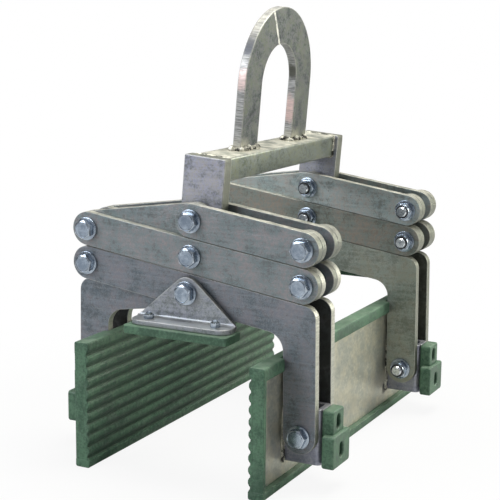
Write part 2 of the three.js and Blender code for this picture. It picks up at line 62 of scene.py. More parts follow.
MM = 0.001
SHARP_ANGLE = math.radians(26)
RIM_STEPS = 4
CORNER_STEPS = 6
ROUND_STEPS = 48
HEX_STEPS = 72
HOLE_STEPS = 32
BEAD_SIDES = 14
BEAD_PITCH = 2.4
BEAD_STEP = 0.6
BEAD_RIPPLE = 0.14
BEAD_BOW = 1.4
CHAMFER = math.radians(28)
HEX_SEAT = 0.95
HEX_STEP = 0.4
HEX_GROOVE = (0.965, 0.92)
HEX_SUNK = 0.35
# Wear attribute: exposure above 0, painted shade in seams and gaps below 0.
WEAR = "wear"
# Side attribute: cut rims on steel, painted shade in the rubber's grooves and slots.
SIDE = "side"
SURFACE = "surface"
WHITE = (1.0, 1.0, 1.0, 1.0)
BODIES = frame["record"]["behaviour"]["bodies"]
BODY_OF = {node: body for body, nodes in BODIES.items() for node in nodes}


class Slot(Enum):
    """The record's material slots."""

    PLATE = "steel_plate"
    BOLT = "steel_bolt"
    PAD = "pad_rubber"
    BUFFER = "buffer_rubber"


class Side(Enum):
    """A jaw, with the sign of its X."""

    RIGHT = 1
    LEFT = -1


class End(Enum):
    """A link frame, with the side along Y on which its bolt heads are."""

    FRONT = -1
    REAR = 1


# Outlines and surfaces


def arc(centre: Sequence[float], radius: float, start: float, end: float, count: int) -> Array:
    """Points on a circle: centre plus radius times (cos a, sin a), with a even from start to end.

    Args:
        centre: The circle's centre.
        radius: Its radius.
        start: First angle in degrees.
        end: Last angle in degrees.
        count: Number of points.

    Returns:
        The points, (count, 2).
    """
    angle = np.radians(np.linspace(start, end, count))
    return np.asarray(centre, float) + radius * np.stack([np.cos(angle), np.sin(angle)], axis=1)


def rounded(corners: Sequence, radii: float | Sequence[float], count: int = CORNER_STEPS) -> Array:
    """A polygon whose corners are arcs that touch both of their edges.

    Each arc starts radius times tan(turn / 2) before the corner, has its centre one radius to the inside of
    the turn, and runs through the turn in even steps.

    Args:
        corners: Corner points in order.
        radii: One radius, or one for each corner.
        count: Points on each arc.

    Returns:
        The closed outline, (corners * count, 2).
    """
    p = np.asarray(corners, float)
    r = np.broadcast_to(np.asarray(radii, float), len(p))[:, None]
    u = p - np.roll(p, 1, 0)
    v = np.roll(p, -1, 0) - p
    u /= np.linalg.norm(u, axis=1, keepdims=True)
    v /= np.linalg.norm(v, axis=1, keepdims=True)
    turn = np.arctan2(u[:, 0] * v[:, 1] - u[:, 1] * v[:, 0], (u * v).sum(1))[:, None]
    inward = np.stack([-u[:, 1], u[:, 0]], axis=1) * np.sign(turn)
    centre = p - u * r * np.tan(np.abs(turn) / 2) + inward * r
    first = np.arctan2(-inward[:, 1], -inward[:, 0])[:, None]
    angle = first + turn * np.linspace(0, 1, count)
    ring = np.stack([np.cos(angle), np.sin(angle)], axis=2)
    return (centre[:, None] + r[:, None] * ring).reshape(-1, 2)


def turned_round(loop: Array, anticlockwise: bool) -> Array:
    """A loop in the wanted sense, by the sign of the sum of x times next y less next x times y.

    Args:
        loop: Closed outline.
        anticlockwise: The wanted sense.

    Returns:
        The loop, or the loop reversed.
    """
    x, y = loop.T
    area = (x * np.roll(y, -1) - np.roll(x, -1) * y).sum()
    return loop if (area > 0) == anticlockwise else loop[::-1]


def outward(loop: Array) -> Array:
    """Miter vectors of a closed loop: the sum of the two edge normals over one plus their product.

    Args:
        loop: Closed outline, anticlockwise for vectors that point out of it.

    Returns:
        A vector for each point.
    """
    edge = np.roll(loop, -1, 0) - loop
    edge /= np.linalg.norm(edge, axis=1, keepdims=True)
    after = np.stack([edge[:, 1], -edge[:, 0]], axis=1)
    before = np.roll(after, 1, 0)
    return (after + before) / (1 + (after * before).sum(1))[:, None]


def resampled(loop: Array, step: float) -> Array:
    """A closed loop with points at even lengths, found by straight interpolation.

    Args:
        loop: Closed outline.
        step: Length between points, which is evened out.

    Returns:
        The points.
    """
    closed = np.concatenate([loop, loop[:1]])
    run = np.concatenate([[0], np.cumsum(np.linalg.norm(np.diff(closed, axis=0), axis=1))])
    at = np.linspace(0, run[-1], max(8, int(run[-1] / step)), endpoint=False)
    return np.stack([np.interp(at, run, closed[:, k]) for k in range(closed.shape[1])], axis=1)


def apart(points: Array, outline: Array) -> Array:
    """Distance of each point from a closed outline.

    For each edge from a to b the nearest place is a + t (b - a), with t = (p - a).(b - a) / |b - a|^2 kept
    within 0 and 1. The smallest distance over all edges counts.

    Args:
        points: Points, (N, 2).
        outline: The outline, (M, 2).

    Returns:
        The distances, (N,).
    """
    step = np.roll(outline, -1, axis=0) - outline
    away = points[:, None] - outline[None]
    t = np.clip((away * step).sum(axis=2) / (step * step).sum(axis=1), 0, 1)
    return np.linalg.norm(away - t[..., None] * step, axis=2).min(axis=1)


def smooth_step(t: Array) -> Array:
    """Eases a rise from 0 to 1: t squared times (3 - 2 t)."""
    return t * t * (3 - 2 * t)


def fill(loops: Sequence[Array], ties: Sequence[tuple[int, int]] = ()) -> Array:
    """Triangles between loops, found by Delaunay and dropped where an even-odd test says in a hole.

    Args:
        loops: Closed outlines, the outer one and its holes.
        ties: Extra pairs of point numbers that an edge must join.

    Returns:
        Triangles as numbers of the joined loops' points, (T, 3).
    """
    flat = np.concatenate(loops)
    starts = np.cumsum([0] + [len(loop) for loop in loops])
    edges = [(a + i, a + (i + 1) % n) for a, n in zip(starts, map(len, loops)) for i in range(n)]
    found = delaunay_2d_cdt([Vector(p) for p in flat], edges + list(ties), [], 1, 1e-6)
    origin = np.array([old[0] if old else -1 for old in found[3]])
    tri = origin[np.array(found[2])]
    tri = tri[(tri >= 0).all(1)]
    if len(loops) == 1:
        return tri
    centre = flat[tri].mean(1)
    a = np.concatenate(loops[1:])
    b = np.concatenate([np.roll(loop, -1, 0) for loop in loops[1:]])
    spans = (a[:, 1] > centre[:, 1:]) != (b[:, 1] > centre[:, 1:])
    rise = np.where(a[:, 1] == b[:, 1], 1.0, b[:, 1] - a[:, 1])
    cross = a[:, 0] + (centre[:, 1:] - a[:, 1]) / rise * (b[:, 0] - a[:, 0])
    in_hole = (spans & (centre[:, :1] < cross)).sum(1) % 2 == 1
    return tri[~in_hole]


@dataclass
class Part:
    """A piece of surface in the making, in millimetres.

    Attributes:
        points: Vertices, (V, 3).
        quads: Four-sided faces, (Q, 4).
        tris: Flat triangles, (T, 3).
        quad_uv: Corner coordinates of the quads, (Q, 4, 2).
        wear: How exposed each vertex is above 0, and below 0 how strong a painted shade it takes in a seam or
            gap.
        side: 1 on cut rims; on rubber, the strength of a painted shade in grooves, slots and under each rib;
            0 on open faces.
        finish: Number of the material.
    """

    points: Array
    quads: Array
    tris: Array
    quad_uv: Array
    wear: Array
    side: Array
    finish: int = 0

    def mapped(self, place: Callable[[Array], Array]) -> "Part":
        """The same part with its points put through place."""
        return replace(self, points=place(self.points))

    def moulded(self, share: float) -> "Part":
        """The same part without rims, and with its exposure made less by share."""
        return replace(self, side=np.zeros_like(self.side), wear=self.wear * share)


def grid_part(
    rings: Array,
    wear: Array | float = 0.0,
    side: Array | float = 0.0,
    wrap_rows: bool = False,
    ends: bool = False,
    finish: int = 0,
) -> Part:
    """Quads over a grid of K rings of N points, closed round each ring.

    Corner coordinates are the length round the middle ring and the length from ring to ring, in metres.

    Args:
        rings: Points, (K, N, 3).
        wear: Exposure of each ring, or of every point.
        side: Rim value of each ring, or of every point.
        wrap_rows: Whether the last ring joins the first.
        ends: Whether a fan about the mean point closes the first and last ring.
        finish: Number of the material.

    Returns:
        The part.
    """
    rows, size = rings.shape[:2]
    k, i = np.meshgrid(np.arange(rows if wrap_rows else rows - 1), np.arange(size), indexing="ij")
    j = (i + 1) % size
    n = (k + 1) % rows
    quads = np.stack([k * size + i, k * size + j, n * size + j, n * size + i], axis=-1).reshape(-1, 4)
    middle = rings[rows // 2]
    run = np.concatenate([[0], np.cumsum(np.linalg.norm(np.roll(middle, -1, 0) - middle, axis=1))]) * MM
    steps = np.linalg.norm(np.roll(rings, -1, 0) - rings, axis=2).mean(1)
    fall = np.concatenate([[0], np.cumsum(steps)]) * MM
    uv = np.stack(
        [
            np.stack([run[i], fall[k]], -1),
            np.stack([run[i + 1], fall[k]], -1),
            np.stack([run[i + 1], fall[k + 1]], -1),
            np.stack([run[i], fall[k + 1]], -1),
        ],
        axis=2,
    ).reshape(-1, 4, 2)
    points = rings.reshape(-1, 3)

    def each(values: Array | float) -> Array:
        """The value of every point, where one for each ring may be given."""
        column = np.reshape(values, (-1, 1)) if np.ndim(values) == 1 else values
        return np.broadcast_to(column, (rows, size)).ravel()

    spread = [each(wear), each(side)]
    tris = np.zeros((0, 3), int)
    if ends:
        points = np.concatenate([points, rings[0].mean(0)[None], rings[-1].mean(0)[None]])
        here = np.arange(size)
        last = (rows - 1) * size
        fans = [
            np.stack([(here + 1) % size, here, np.full(size, rows * size)], 1),
            np.stack([last + here, last + (here + 1) % size, np.full(size, rows * size + 1)], 1),
        ]
        tris = np.concatenate(fans)
        spread = [np.append(v, [v[0], v[last]]) for v in spread]
    return Part(points, quads, tris, uv, spread[0], spread[1], finish)


def joined(parts: Sequence[Part]) -> tuple[Array, ...]:
    """Concatenates parts, moving each one's face numbers past the vertices before it.

    Args:
        parts: The parts.

    Returns:
        Points, quads, triangles, the quads' corner coordinates, wear, side, and the finish of each face.
    """
    starts = np.cumsum([0] + [len(p.points) for p in parts])
    quad_finish = [np.full(len(p.quads), p.finish) for p in parts]
    tri_finish = [np.full(len(p.tris), p.finish) for p in parts]
    return (
        np.concatenate([p.points for p in parts]),
        np.concatenate([p.quads + s for p, s in zip(parts, starts)]),
        np.concatenate([p.tris + s for p, s in zip(parts, starts)]),
        np.concatenate([p.quad_uv for p in parts]),
        np.concatenate([p.wear for p in parts]),
        np.concatenate([p.side for p in parts]),
        np.concatenate(quad_finish + tri_finish),
    )


def slab(
    outer: Array,
    thickness: float,
    edge: float = 0.9,
    margin: float = 1.2,
    holes: Sequence[Array] = (),
    pockets: Sequence[tuple[Array, float]] = (),
    ties: Sequence[tuple[int, int]] = (),
    finish: int = 0,
) -> Part:
    """A plate of any outline with quarter-round edges, drawn in (a, b) and thick along c.

    Round each loop runs a rim of rings: at angle t the inset is edge times (1 - sin t) and the depth is
    edge times (1 - cos t), for t from 0 to 90 degrees, and the same again at the back. Wear over the edge
    is 0.7 + 0.3 sin 2t. Flat faces fill both ends.

    Args:
        outer: Outer outline.
        thickness: Thickness.
        edge: Radius of the edges.
        margin: Width of the strip beside each edge over which the wear fades, 0 for none.
        holes: Outlines that go right through.
        pockets: Outlines that are cut into the near face, each with its depth.
        ties: Pairs of points of the outer outline that the faces keep an edge between.
        finish: Number of the material.

    Returns:
        The part, with c from 0 to thickness.
    """
    t = np.radians(np.linspace(0, 90, RIM_STEPS + 1))
    inset, drop = edge * (1 - np.sin(t)), edge * (1 - np.cos(t))
    near = np.stack([inset, drop, 0.7 + 0.3 * np.sin(2 * t), t / t[-1]], axis=1)
    if margin:
        near = np.concatenate([[[edge + margin, 0, 0, 0]], near, [[0, edge + margin, 0, 1]]])
    far = near[::-1] * [1, -1, 1, 1] + [0, thickness, 0, 0]
    through = np.concatenate([near, far])

    def rim(loop: Array, rows: Array) -> Array:
        """Rings of a rim: the loop less its miter times each inset, at each depth."""
        flat = loop[None] - outward(loop)[None] * rows[:, 0, None, None]
        depth = np.broadcast_to(rows[:, 1, None, None], flat.shape[:2] + (1,))
        return np.concatenate([flat, depth], axis=2)

    def part(rings: Array, rows: Array) -> Part:
        """The grid of one rim."""
        return grid_part(rings, rows[:, 2], rows[:, 3], finish=finish)

    loops = [turned_round(outer, True)] + [turned_round(hole, False) for hole in holes]
    rings = [rim(loop, through) for loop in loops]
    parts = [part(ring, through) for ring in rings]
    front = [ring[0] for ring in rings]
    back = [ring[-1] for ring in rings]
    for loop, depth in pockets:
        rows = np.concatenate([near, [[0, depth, 0, 1]]])
        sunk = rim(turned_round(loop, False), rows)
        floor = fill([sunk[-1][:, :2]]) + (len(rows) - 1) * len(loop)
        parts.append(replace(part(sunk, rows), tris=floor))
        front.append(sunk[0])
    starts = np.cumsum([0] + [len(p.points) for p in parts])
    face = fill([loop[:, :2] for loop in front], ties)
    rear = fill([loop[:, :2] for loop in back], ties)
    last = len(through) - 1
    face_at = np.concatenate([s + np.arange(len(loop)) for s, loop in zip(starts, front)])
    rear_at = np.concatenate([s + last * len(loop) + np.arange(len(loop)) for s, loop in zip(starts, back)])
    points, quads, tris, uv, wear, side, _ = joined(parts)
    tris = np.concatenate([tris, face_at[face], rear_at[rear]])
    return Part(points, quads, tris, uv, wear, side, finish)


def lathe(
    profile: Sequence,
    count: int = ROUND_STEPS,
    closed: bool = False,
    wear: float = 0.3,
    finish: int = 0,
) -> Part:
    """A profile of (radius, height) pairs turned about the c axis: (r cos a, r sin a, h).

    Args:
        profile: The pairs, along the surface.
        count: Steps in the whole turn.
        closed: Whether the profile is a loop, as of a washer.
        wear: Exposure.
        finish: Number of the material.

    Returns:
        The part.
    """
    r, h = np.asarray(profile, float).T[..., None]
    a = np.linspace(0, 2 * math.pi, count, endpoint=False)
    rings = np.stack([r * np.cos(a), r * np.sin(a), np.repeat(h, count, 1)], axis=2)
    return grid_part(rings, wear, 0.0, wrap_rows=closed, ends=not closed, finish=finish)


def hexagon(across: float, height: float, spin: float, crown: float = 0.93, finish: int = 0) -> Part:
    """A chamfered hexagon head: at angle a its radius is half its width over cos(a to the nearest flat).

    The top edge drops by (radius - crown circle) times the chamfer's tangent, so that the chamfer meets each
    flat in a bow. A fine groove runs round the crown.

    Args:
        across: Width across flats.
        height: Height.
        spin: Turn about its axis in degrees.
        crown: Radius of the flat crown as a share of half the width.
        finish: Number of the material.

    Returns:
        The part, with c from 0 at the seat.
    """
    a = np.linspace(0, 2 * math.pi, HEX_STEPS, endpoint=False)
    sector = math.pi / 3
    half = across / 2
    reach = half / np.cos((a + sector / 2) % sector - sector / 2)
    ring = half * crown
    drop = (reach - ring) * math.tan(CHAMFER)
    flat = np.ones_like(a)
    rows = [
        (half * HEX_SEAT * flat, 0 * flat),
        (half * HEX_SEAT * flat, HEX_STEP * flat),
        (reach, HEX_STEP * flat + (reach - half) * 0.5),
        (reach, height - drop),
        (ring * flat, height * flat),
        (ring * HEX_GROOVE[0] * flat, (height - HEX_SUNK) * flat),
        (ring * HEX_GROOVE[1] * flat, height * flat),
        (ring * 0.6 * flat, height * flat),
    ]
    wear = np.array([0, 0, 0.1, 0.8, 0.7, 0, 0.4, 0.1])
    angle = a + math.radians(spin)
    rings = np.array([np.stack([r * np.cos(angle), r * np.sin(angle), h], axis=1) for r, h in rows])
    return grid_part(rings, wear, 0.0, ends=True, finish=finish)


def bead(
    path: Array,
    across: Array,
    up: Array,
    radius: float,
    closed: bool = False,
    seed: float = 0.0,
    lumps: float = 0.12,
) -> Part:
    """A weld bead: a tube whose radius ripples along its path.

    At length s and angle f the radius is r (1 - ripple + ripple cos(2 pi s / pitch - bow cos f) + slow
    waves). The bow bends each ripple back at the sides, as in a real bead.

    Args:
        path: Centre line, (N, 3).
        across: Unit vectors across the path, (N, 3) or (3,).
        up: Unit vectors square to both, (N, 3) or (3,).
        radius: Mean radius.
        closed: Whether the path is a loop.
        seed: Shift of the slow waves.
        lumps: Height of the slow waves, as a share of the radius.

    Returns:
        The part, in the second material.
    """
    across, up = (np.broadcast_to(v, path.shape)[:, None] for v in (across, up))
    step = np.linalg.norm(np.diff(path, axis=0), axis=1)
    s = np.concatenate([[0], np.cumsum(step)])[:, None]
    f = np.linspace(0, 2 * math.pi, BEAD_SIDES, endpoint=False)[None]
    slow = lumps * (np.sin(s / 4.1 + seed) + 0.8 * np.sin(s / 1.9 + 2.3 * seed + f))
    ripple = np.cos(2 * math.pi * s / BEAD_PITCH - BEAD_BOW * np.cos(f))
    r = radius * (1 - BEAD_RIPPLE + BEAD_RIPPLE * ripple + slow)
    rings = path[:, None] + r[..., None] * (np.cos(f)[..., None] * across + np.sin(f)[..., None] * up)
    return grid_part(rings, 0.5, 0.0, wrap_rows=closed, ends=not closed, finish=1)


def bead_round(
    outline: Array,
    axis: int,
    at: float,
    radius: float,
    seed: float,
    lumps: float = 0.12,
    ceiling: float = math.inf,
) -> Part:
    """A bead round a closed outline in the plane square to an axis, with its miters made unit vectors.

    Args:
        outline: The outline, in the other two axes.
        axis: Number of the axis.
        at: Place of the plane along it.
        radius: Mean radius.
        seed: Shift of the slow waves.
        lumps: Height of the slow waves, as a share of the radius.
        ceiling: Highest Z of the centre line.

    Returns:
        The part, in the second material.
    """
    dense = resampled(turned_round(outline, True), BEAD_STEP)
    normal = outward(dense)
    normal /= np.linalg.norm(normal, axis=1, keepdims=True)
    path = np.insert(dense, axis, at, axis=1)
    path[:, 2] = np.minimum(path[:, 2], ceiling)
    across = np.insert(normal, axis, 0.0, axis=1)
    return bead(path, across, np.eye(3)[axis], radius, closed=True, seed=seed, lumps=lumps)


def line(start: Sequence[float], end: Sequence[float]) -> Array:
    """Points from start to end, about a bead's step apart.

    Args:
        start: First point.
        end: Last point.

    Returns:
        The points.
    """
    a, b = np.asarray(start, float), np.asarray(end, float)
    count = max(4, int(np.linalg.norm(b - a) / BEAD_STEP))
    return a + (b - a) * np.linspace(0, 1, count)[:, None]


def stood(part: Part, y: float, x: float = 0.0, z: float = 0.0, sense: int = 1) -> Part:
    """A flat part stood up across Y: (a, b, c) becomes (x + a, y + sense c, z + b)."""
    return part.mapped(lambda p: np.stack([x + p[:, 0], y + sense * p[:, 2], z + p[:, 1]], axis=1))


def faced(part: Part, x: float, z: float = 0.0, sense: int = 1) -> Part:
    """A flat part stood up across X: (a, b, c) becomes (x + sense c, a, z + b)."""
    return part.mapped(lambda p: np.stack([x + sense * p[:, 2], p[:, 0], z + p[:, 1]], axis=1))


def piece(
    name: str,
    parts: Sequence[Part],
    materials: Sequence[bpy.types.Material],
    nodes: Sequence[str],
) -> None:
    """Writes parts into one object in metres, which rides with its CAD nodes' body and stands for them.

    Args:
        name: Name of the piece.
        parts: Its parts.
        materials: Materials, in the order of the parts' finish numbers.
        nodes: CAD nodes that it replaces, the first of which gives the body.
    """
    points, quads, tris, quad_uv, wear, side, finish = joined(parts)
    mesh = bpy.data.meshes.new(name)
    mesh.from_pydata((points * MM).tolist(), [], quads.tolist() + tris.tolist())
    smooth = np.concatenate([np.ones(len(quads), bool), np.zeros(len(tris), bool)])
    mesh.polygons.foreach_set("use_smooth", smooth)
    mesh.polygons.foreach_set("material_index", finish.astype(np.int32))
    tri_uv = (points * MM)[tris][..., [0, 2]]
    uv = np.concatenate([quad_uv.reshape(-1), tri_uv.reshape(-1)]).astype(np.float32)
    mesh.uv_layers.new(name=SURFACE).data.foreach_set("uv", uv)
    for label, values in ((WEAR, wear), (SIDE, side)):
        attribute = mesh.attributes.new(label, "FLOAT", "POINT")
        attribute.data.foreach_set("value", values.astype(np.float32))
    work = bmesh.new()
    work.from_mesh(mesh)
    bmesh.ops.recalc_face_normals(work, faces=work.faces)
    work.to_mesh(mesh)
    work.free()
    mesh.set_sharp_from_angle(angle=SHARP_ANGLE)
    for material in materials:
        mesh.materials.append(material)
    made = bpy.data.objects.new(name, mesh)
    bpy.context.scene.collection.objects.link(made)
    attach(made, BODY_OF[nodes[0]])
    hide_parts(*nodes)
    LOG.info("%s: %d points on %s", name, len(points), BODY_OF[nodes[0]])


# Materials


@dataclass
class Graph:
    """A node tree that is being wired."""

    tree: bpy.types.NodeTree

    def feed(self, node: bpy.types.Node, inputs: dict) -> None:
        """Links sockets to the inputs of a node, and sets plain values on them.

        Args:
            node: The node.
            inputs: Values or sockets, by the input's name or number.
        """
        for key, value in inputs.items():
            if isinstance(value, Socket):
                self.tree.links.new(value, node.inputs[key])
            else:
                node.inputs[key].default_value = value

    def add(self, kind: str, inputs: dict | None = None, **settings: object) -> bpy.types.Node:
        """Adds a node.

        Args:
            kind: Its type, without the ShaderNode prefix.
            inputs: Values or sockets for its inputs, by name or number.
            settings: Its properties.

        Returns:
            The node.
        """
        node = self.tree.nodes.new("ShaderNode" + kind)
        for key, value in settings.items():
            setattr(node, key, value)
        self.feed(node, inputs or {})
        return node

    def math(self, operation: str, a: object, b: object = 0.0, clamp: bool = False) -> Socket:
        """One sum of two values or sockets."""
        return self.add("Math", {0: a, 1: b}, operation=operation, use_clamp=clamp).outputs[0]

    def times(self, a: object, b: object, clamp: bool = False) -> Socket:
        """Two values or sockets multiplied."""
        return self.math("MULTIPLY", a, b, clamp)

    def plus(self, a: object, b: object, clamp: bool = False) -> Socket:
        """Two values or sockets added."""
        return self.math("ADD", a, b, clamp)

    def mix(self, share: object, a: object, b: object) -> Socket:
        """Mixes two colours.

        Args:
            share: Share of the second one.
            a: First colour or socket.
            b: Second colour or socket.

        Returns:
            The mixed colour.
        """
        first, second = ((*c, 1.0) if isinstance(c, tuple) else c for c in (a, b))
        return self.add("Mix", {0: share, 6: first, 7: second}, data_type="RGBA").outputs[2]

    def remap(self, value: object, low: float, high: float, start: float = 0.0, stop: float = 1.0) -> Socket:
        """Value eased from the range low to high into start to stop, and clamped."""
        names = {"Value": value, "From Min": low, "From Max": high, "To Min": start, "To Max": stop}
        return self.add("MapRange", names, interpolation_type="SMOOTHSTEP").outputs[0]

    def noise(self, vector: object, scale: object, detail: float, rough: float) -> Socket:
        """Noise at a scale, 0 to 1."""
        names = {"Vector": vector, "Scale": scale, "Detail": detail, "Roughness": rough}
        return self.add("TexNoise", names).outputs["Fac"]

    def stretched(self, vector: object, scale: Colour, tilt: float = 0.0) -> Socket:
        """Coordinates turned about Y and scaled by axis."""
        turned = {"Vector": vector, "Rotation": (0.0, tilt, 0.0), "Scale": scale}
        return self.add("Mapping", turned).outputs[0]

    def attribute(self, name: str) -> Socket:
        """A value that the mesh carries at its points."""
        return self.add("Attribute", attribute_name=name).outputs["Fac"]

    def bump(self, strength: float, distance: float, height: object) -> Socket:
        """The normal, bent by a height."""
        return self.add("Bump", {"Strength": strength, "Distance": distance, "Height": height}).outputs[0]

    def group(self, effect: "Effect", inputs: dict) -> dict[str, Socket]:
        """Places a shared effect and returns its outputs by name."""
        node = self.add("Group", node_tree=effect.tree())
        self.feed(node, inputs)
        return {socket.name: socket for socket in node.outputs}


@dataclass(frozen=True)
class Effect:
    """A shader node group that several materials share.

    Attributes:
        name: Its name.
        inputs: Name, socket kind and default of each input.
        outputs: Names of the outputs, all plain values.
        wire: Fills the group: takes the graph and the input sockets, returns the output sockets.
    """

    name: str
    inputs: tuple[tuple[str, str, object], ...]
    outputs: tuple[str, ...]
    wire: Callable[[Graph, dict], dict]

    def tree(self) -> bpy.types.NodeTree:
        """Makes the group the first time that it is asked for.

        Returns:
            The group.
        """
        found = bpy.data.node_groups.get(self.name)
        if found:
            return found
        tree = bpy.data.node_groups.new(self.name, "ShaderNodeTree")
        for label, kind, default in self.inputs:
            socket = tree.interface.new_socket(label, in_out="INPUT", socket_type="NodeSocket" + kind)
            socket.default_value = default
        for label in self.outputs:
            tree.interface.new_socket(label, in_out="OUTPUT", socket_type="NodeSocketFloat")
        start = tree.nodes.new("NodeGroupInput")
        end = tree.nodes.new("NodeGroupOutput")
        graph = Graph(tree)
        graph.feed(end, self.wire(graph, {socket.name: socket for socket in start.outputs}))
        return tree


def wire_grain(g: Graph, into: dict) -> dict:
    """Rolled and dipped metal: cloudy patches, spangles, fine speckle, faint streaks along X and scratches.

    The tone is a weighted sum of the four noises. A scratch is where stretched noise crosses its middle
    value, kept in a few patches only.

    Args:
        g: The group's graph.
        into: Its input sockets.

    Returns:
        Its output sockets.
    """
    place, scale = into["Vector"], into["Scale"]
    cloud = g.noise(place, scale, 4.0, 0.6)
    spangle = g.noise(place, g.times(scale, 6.0), 3.0, 0.7)
    fine = g.noise(place, g.times(scale, 22.0), 2.0, 0.7)
    streak = g.noise(g.stretched(place, (14.0, 120.0, 260.0)), 1.0, 2.0, 0.5)
    tone = g.plus(g.times(cloud, 0.3), g.times(fine, 0.25))
    tone = g.plus(tone, g.times(spangle, 0.3))
    tone = g.plus(tone, g.times(streak, 0.15))
    few = g.remap(g.noise(place, 11.0, 2.0, 0.6), 0.58, 0.68)
    cuts = 0.0
    for tilt in (0.5, 0.2, -0.9):
        lean = g.noise(g.stretched(place, (26.0, 90.0, 210.0), tilt), 1.0, 1.0, 0.5)
        thin = g.remap(g.math("ABSOLUTE", g.math("SUBTRACT", lean, 0.5)), 0.0, 0.012, 1.0, 0.0)
        cuts = g.math("MAXIMUM", cuts, thin)
    return {
        "Tone": g.remap(tone, 0.4, 0.6),
        "Height": g.plus(g.times(fine, 0.6), g.times(streak, 0.4)),
        "Cloud": g.remap(cloud, 0.4, 0.65),
        "Speck": g.remap(spangle, 0.42, 0.6),
        "Scratch": g.times(cuts, few),
    }


def wire_wear_and_shade(g: Graph, into: dict) -> dict:
    """Bright edges where the wear attribute is above 0, and painted shade in seams and gaps where it is
    below, both broken by noise.

    Args:
        g: The group's graph.
        into: Its input sockets.

    Returns:
        Its output sockets.
    """
    exposed = g.attribute(WEAR)
    chips = g.remap(g.noise(into["Vector"], into["Scale"], 4.0, 0.65), 0.3, 0.6, 0.25)
    # Below 0 the wear attribute stands for painted shade in seams and gaps.
    grime = g.times(exposed, -1.0, clamp=True)
    return {
        "Mask": g.times(g.times(exposed, chips), into["Amount"], clamp=True),
        "Grime": g.times(grime, g.plus(g.times(chips, 0.25), 0.75)),
    }


def wire_cut(g: Graph, into: dict) -> dict:
    """Flame-cut rims: fine lines across the thickness, from the length round the outline.

    Args:
        g: The group's graph.
        into: Its input sockets.

    Returns:
        Its output sockets.
    """
    along = g.stretched(g.add("UVMap", uv_map=SURFACE).outputs[0], (1.0, 0.06, 1.0))
    return {
        "Rim": g.attribute(SIDE),
        "Lines": g.remap(g.noise(along, into["Pitch"], 2.0, 0.6), 0.3, 0.7),
    }


def wire_heat(g: Graph, into: dict) -> dict:
    """Heat mark of a weld: soot close to a point, and a straw-coloured halo round it, both broken by noise.

    Args:
        g: The group's graph.
        into: Its input sockets.

    Returns:
        Its output sockets.
    """
    gap = g.add("VectorMath", {0: into["Vector"], 1: into["Centre"]}, operation="DISTANCE").outputs["Value"]
    ragged = g.plus(g.noise(into["Vector"], 180.0, 3.0, 0.6), 0.5)
    share = g.math("DIVIDE", gap, g.times(ragged, into["Radius"]))
    return {"Soot": g.remap(share, 0.35, 0.75, 1.0, 0.0), "Halo": g.remap(share, 0.7, 2.0, 1.0, 0.0)}


def wire_rubber(g: Graph, into: dict) -> dict:
    """Moulded rubber: large cloudy areas, a fine matt skin and pale scuffs on what is exposed.

    Args:
        g: The group's graph.
        into: Its input sockets.

    Returns:
        Its output sockets.
    """
    place = into["Vector"]
    cloud = g.noise(place, into["Scale"], 4.0, 0.6)
    skin = g.noise(place, 620.0, 2.0, 0.6)
    drag = g.noise(place, 95.0, 4.0, 0.7)
    smear = g.noise(place, 260.0, 3.0, 0.65)
    bare = g.plus(g.attribute(WEAR), 0.25)
    return {
        "Tone": g.remap(g.plus(g.times(cloud, 0.5), g.times(smear, 0.5)), 0.4, 0.6),
        "Scuff": g.times(g.remap(drag, 0.45, 0.65), bare, clamp=True),
        "Height": g.plus(g.times(drag, 0.7), g.times(skin, 0.3)),
    }


def wire_dust_and_top_light(g: Graph, into: dict) -> dict:
    """Dust, and painted top light, on faces that look up: the normal's height times noise.

    Args:
        g: The group's graph.
        into: Its input sockets.

    Returns:
        Its output sockets.
    """
    up = g.add("SeparateXYZ", {0: g.add("NewGeometry").outputs["Normal"]}).outputs[2]
    spread = g.remap(g.noise(into["Vector"], 55.0, 4.0, 0.65), 0.35, 0.65, 0.3)
    return {"Mask": g.times(g.times(g.remap(up, 0.35, 0.95), spread), into["Amount"], clamp=True)}


PLACE = ("Vector", "Vector", (0.0, 0.0, 0.0))
CENTRE = ("Centre", "Vector", (0.0, 0.0, 0.0))
GRAIN = Effect(
    "rolled_grain",
    (PLACE, ("Scale", "Float", 30.0)),
    ("Tone", "Height", "Cloud", "Speck", "Scratch"),
    wire_grain,
)
WEAR_AND_SHADE = Effect(
    "edge_wear", (PLACE, ("Scale", "Float", 90.0), ("Amount", "Float", 1.0)), ("Mask", "Grime"), wire_wear_and_shade
)
CUT = Effect("cut_rim", (PLACE, ("Pitch", "Float", 900.0)), ("Rim", "Lines"), wire_cut)
HEAT = Effect("weld_heat", (PLACE, CENTRE, ("Radius", "Float", 0.01)), ("Soot", "Halo"), wire_heat)
RUBBER = Effect("moulded_rubber", (PLACE, ("Scale", "Float", 26.0)), ("Tone", "Scuff", "Height"), wire_rubber)
DUST_AND_TOP_LIGHT = Effect("dust", (PLACE, ("Amount", "Float", 0.5)), ("Mask",), wire_dust_and_top_light)


@dataclass(frozen=True)
class Finish:
    """A material: object coordinates, effects and one shader.

    Attributes:
        name: Name of the material.
    """

    name: str

    def wire(self, g: Graph, place: Socket) -> dict:
        """The shader's inputs by name, as sockets or plain values."""
        raise NotImplementedError

    def build(self) -> bpy.types.Material:
        """Makes the material.

        Returns:
            The material.
        """
        material = bpy.data.materials.new(self.name)
        material.use_nodes = True
        g = Graph(material.node_tree)
        inputs = self.wire(g, g.add("TexCoord").outputs["Object"])
        g.feed(material.node_tree.nodes["Principled BSDF"], inputs)
        return material


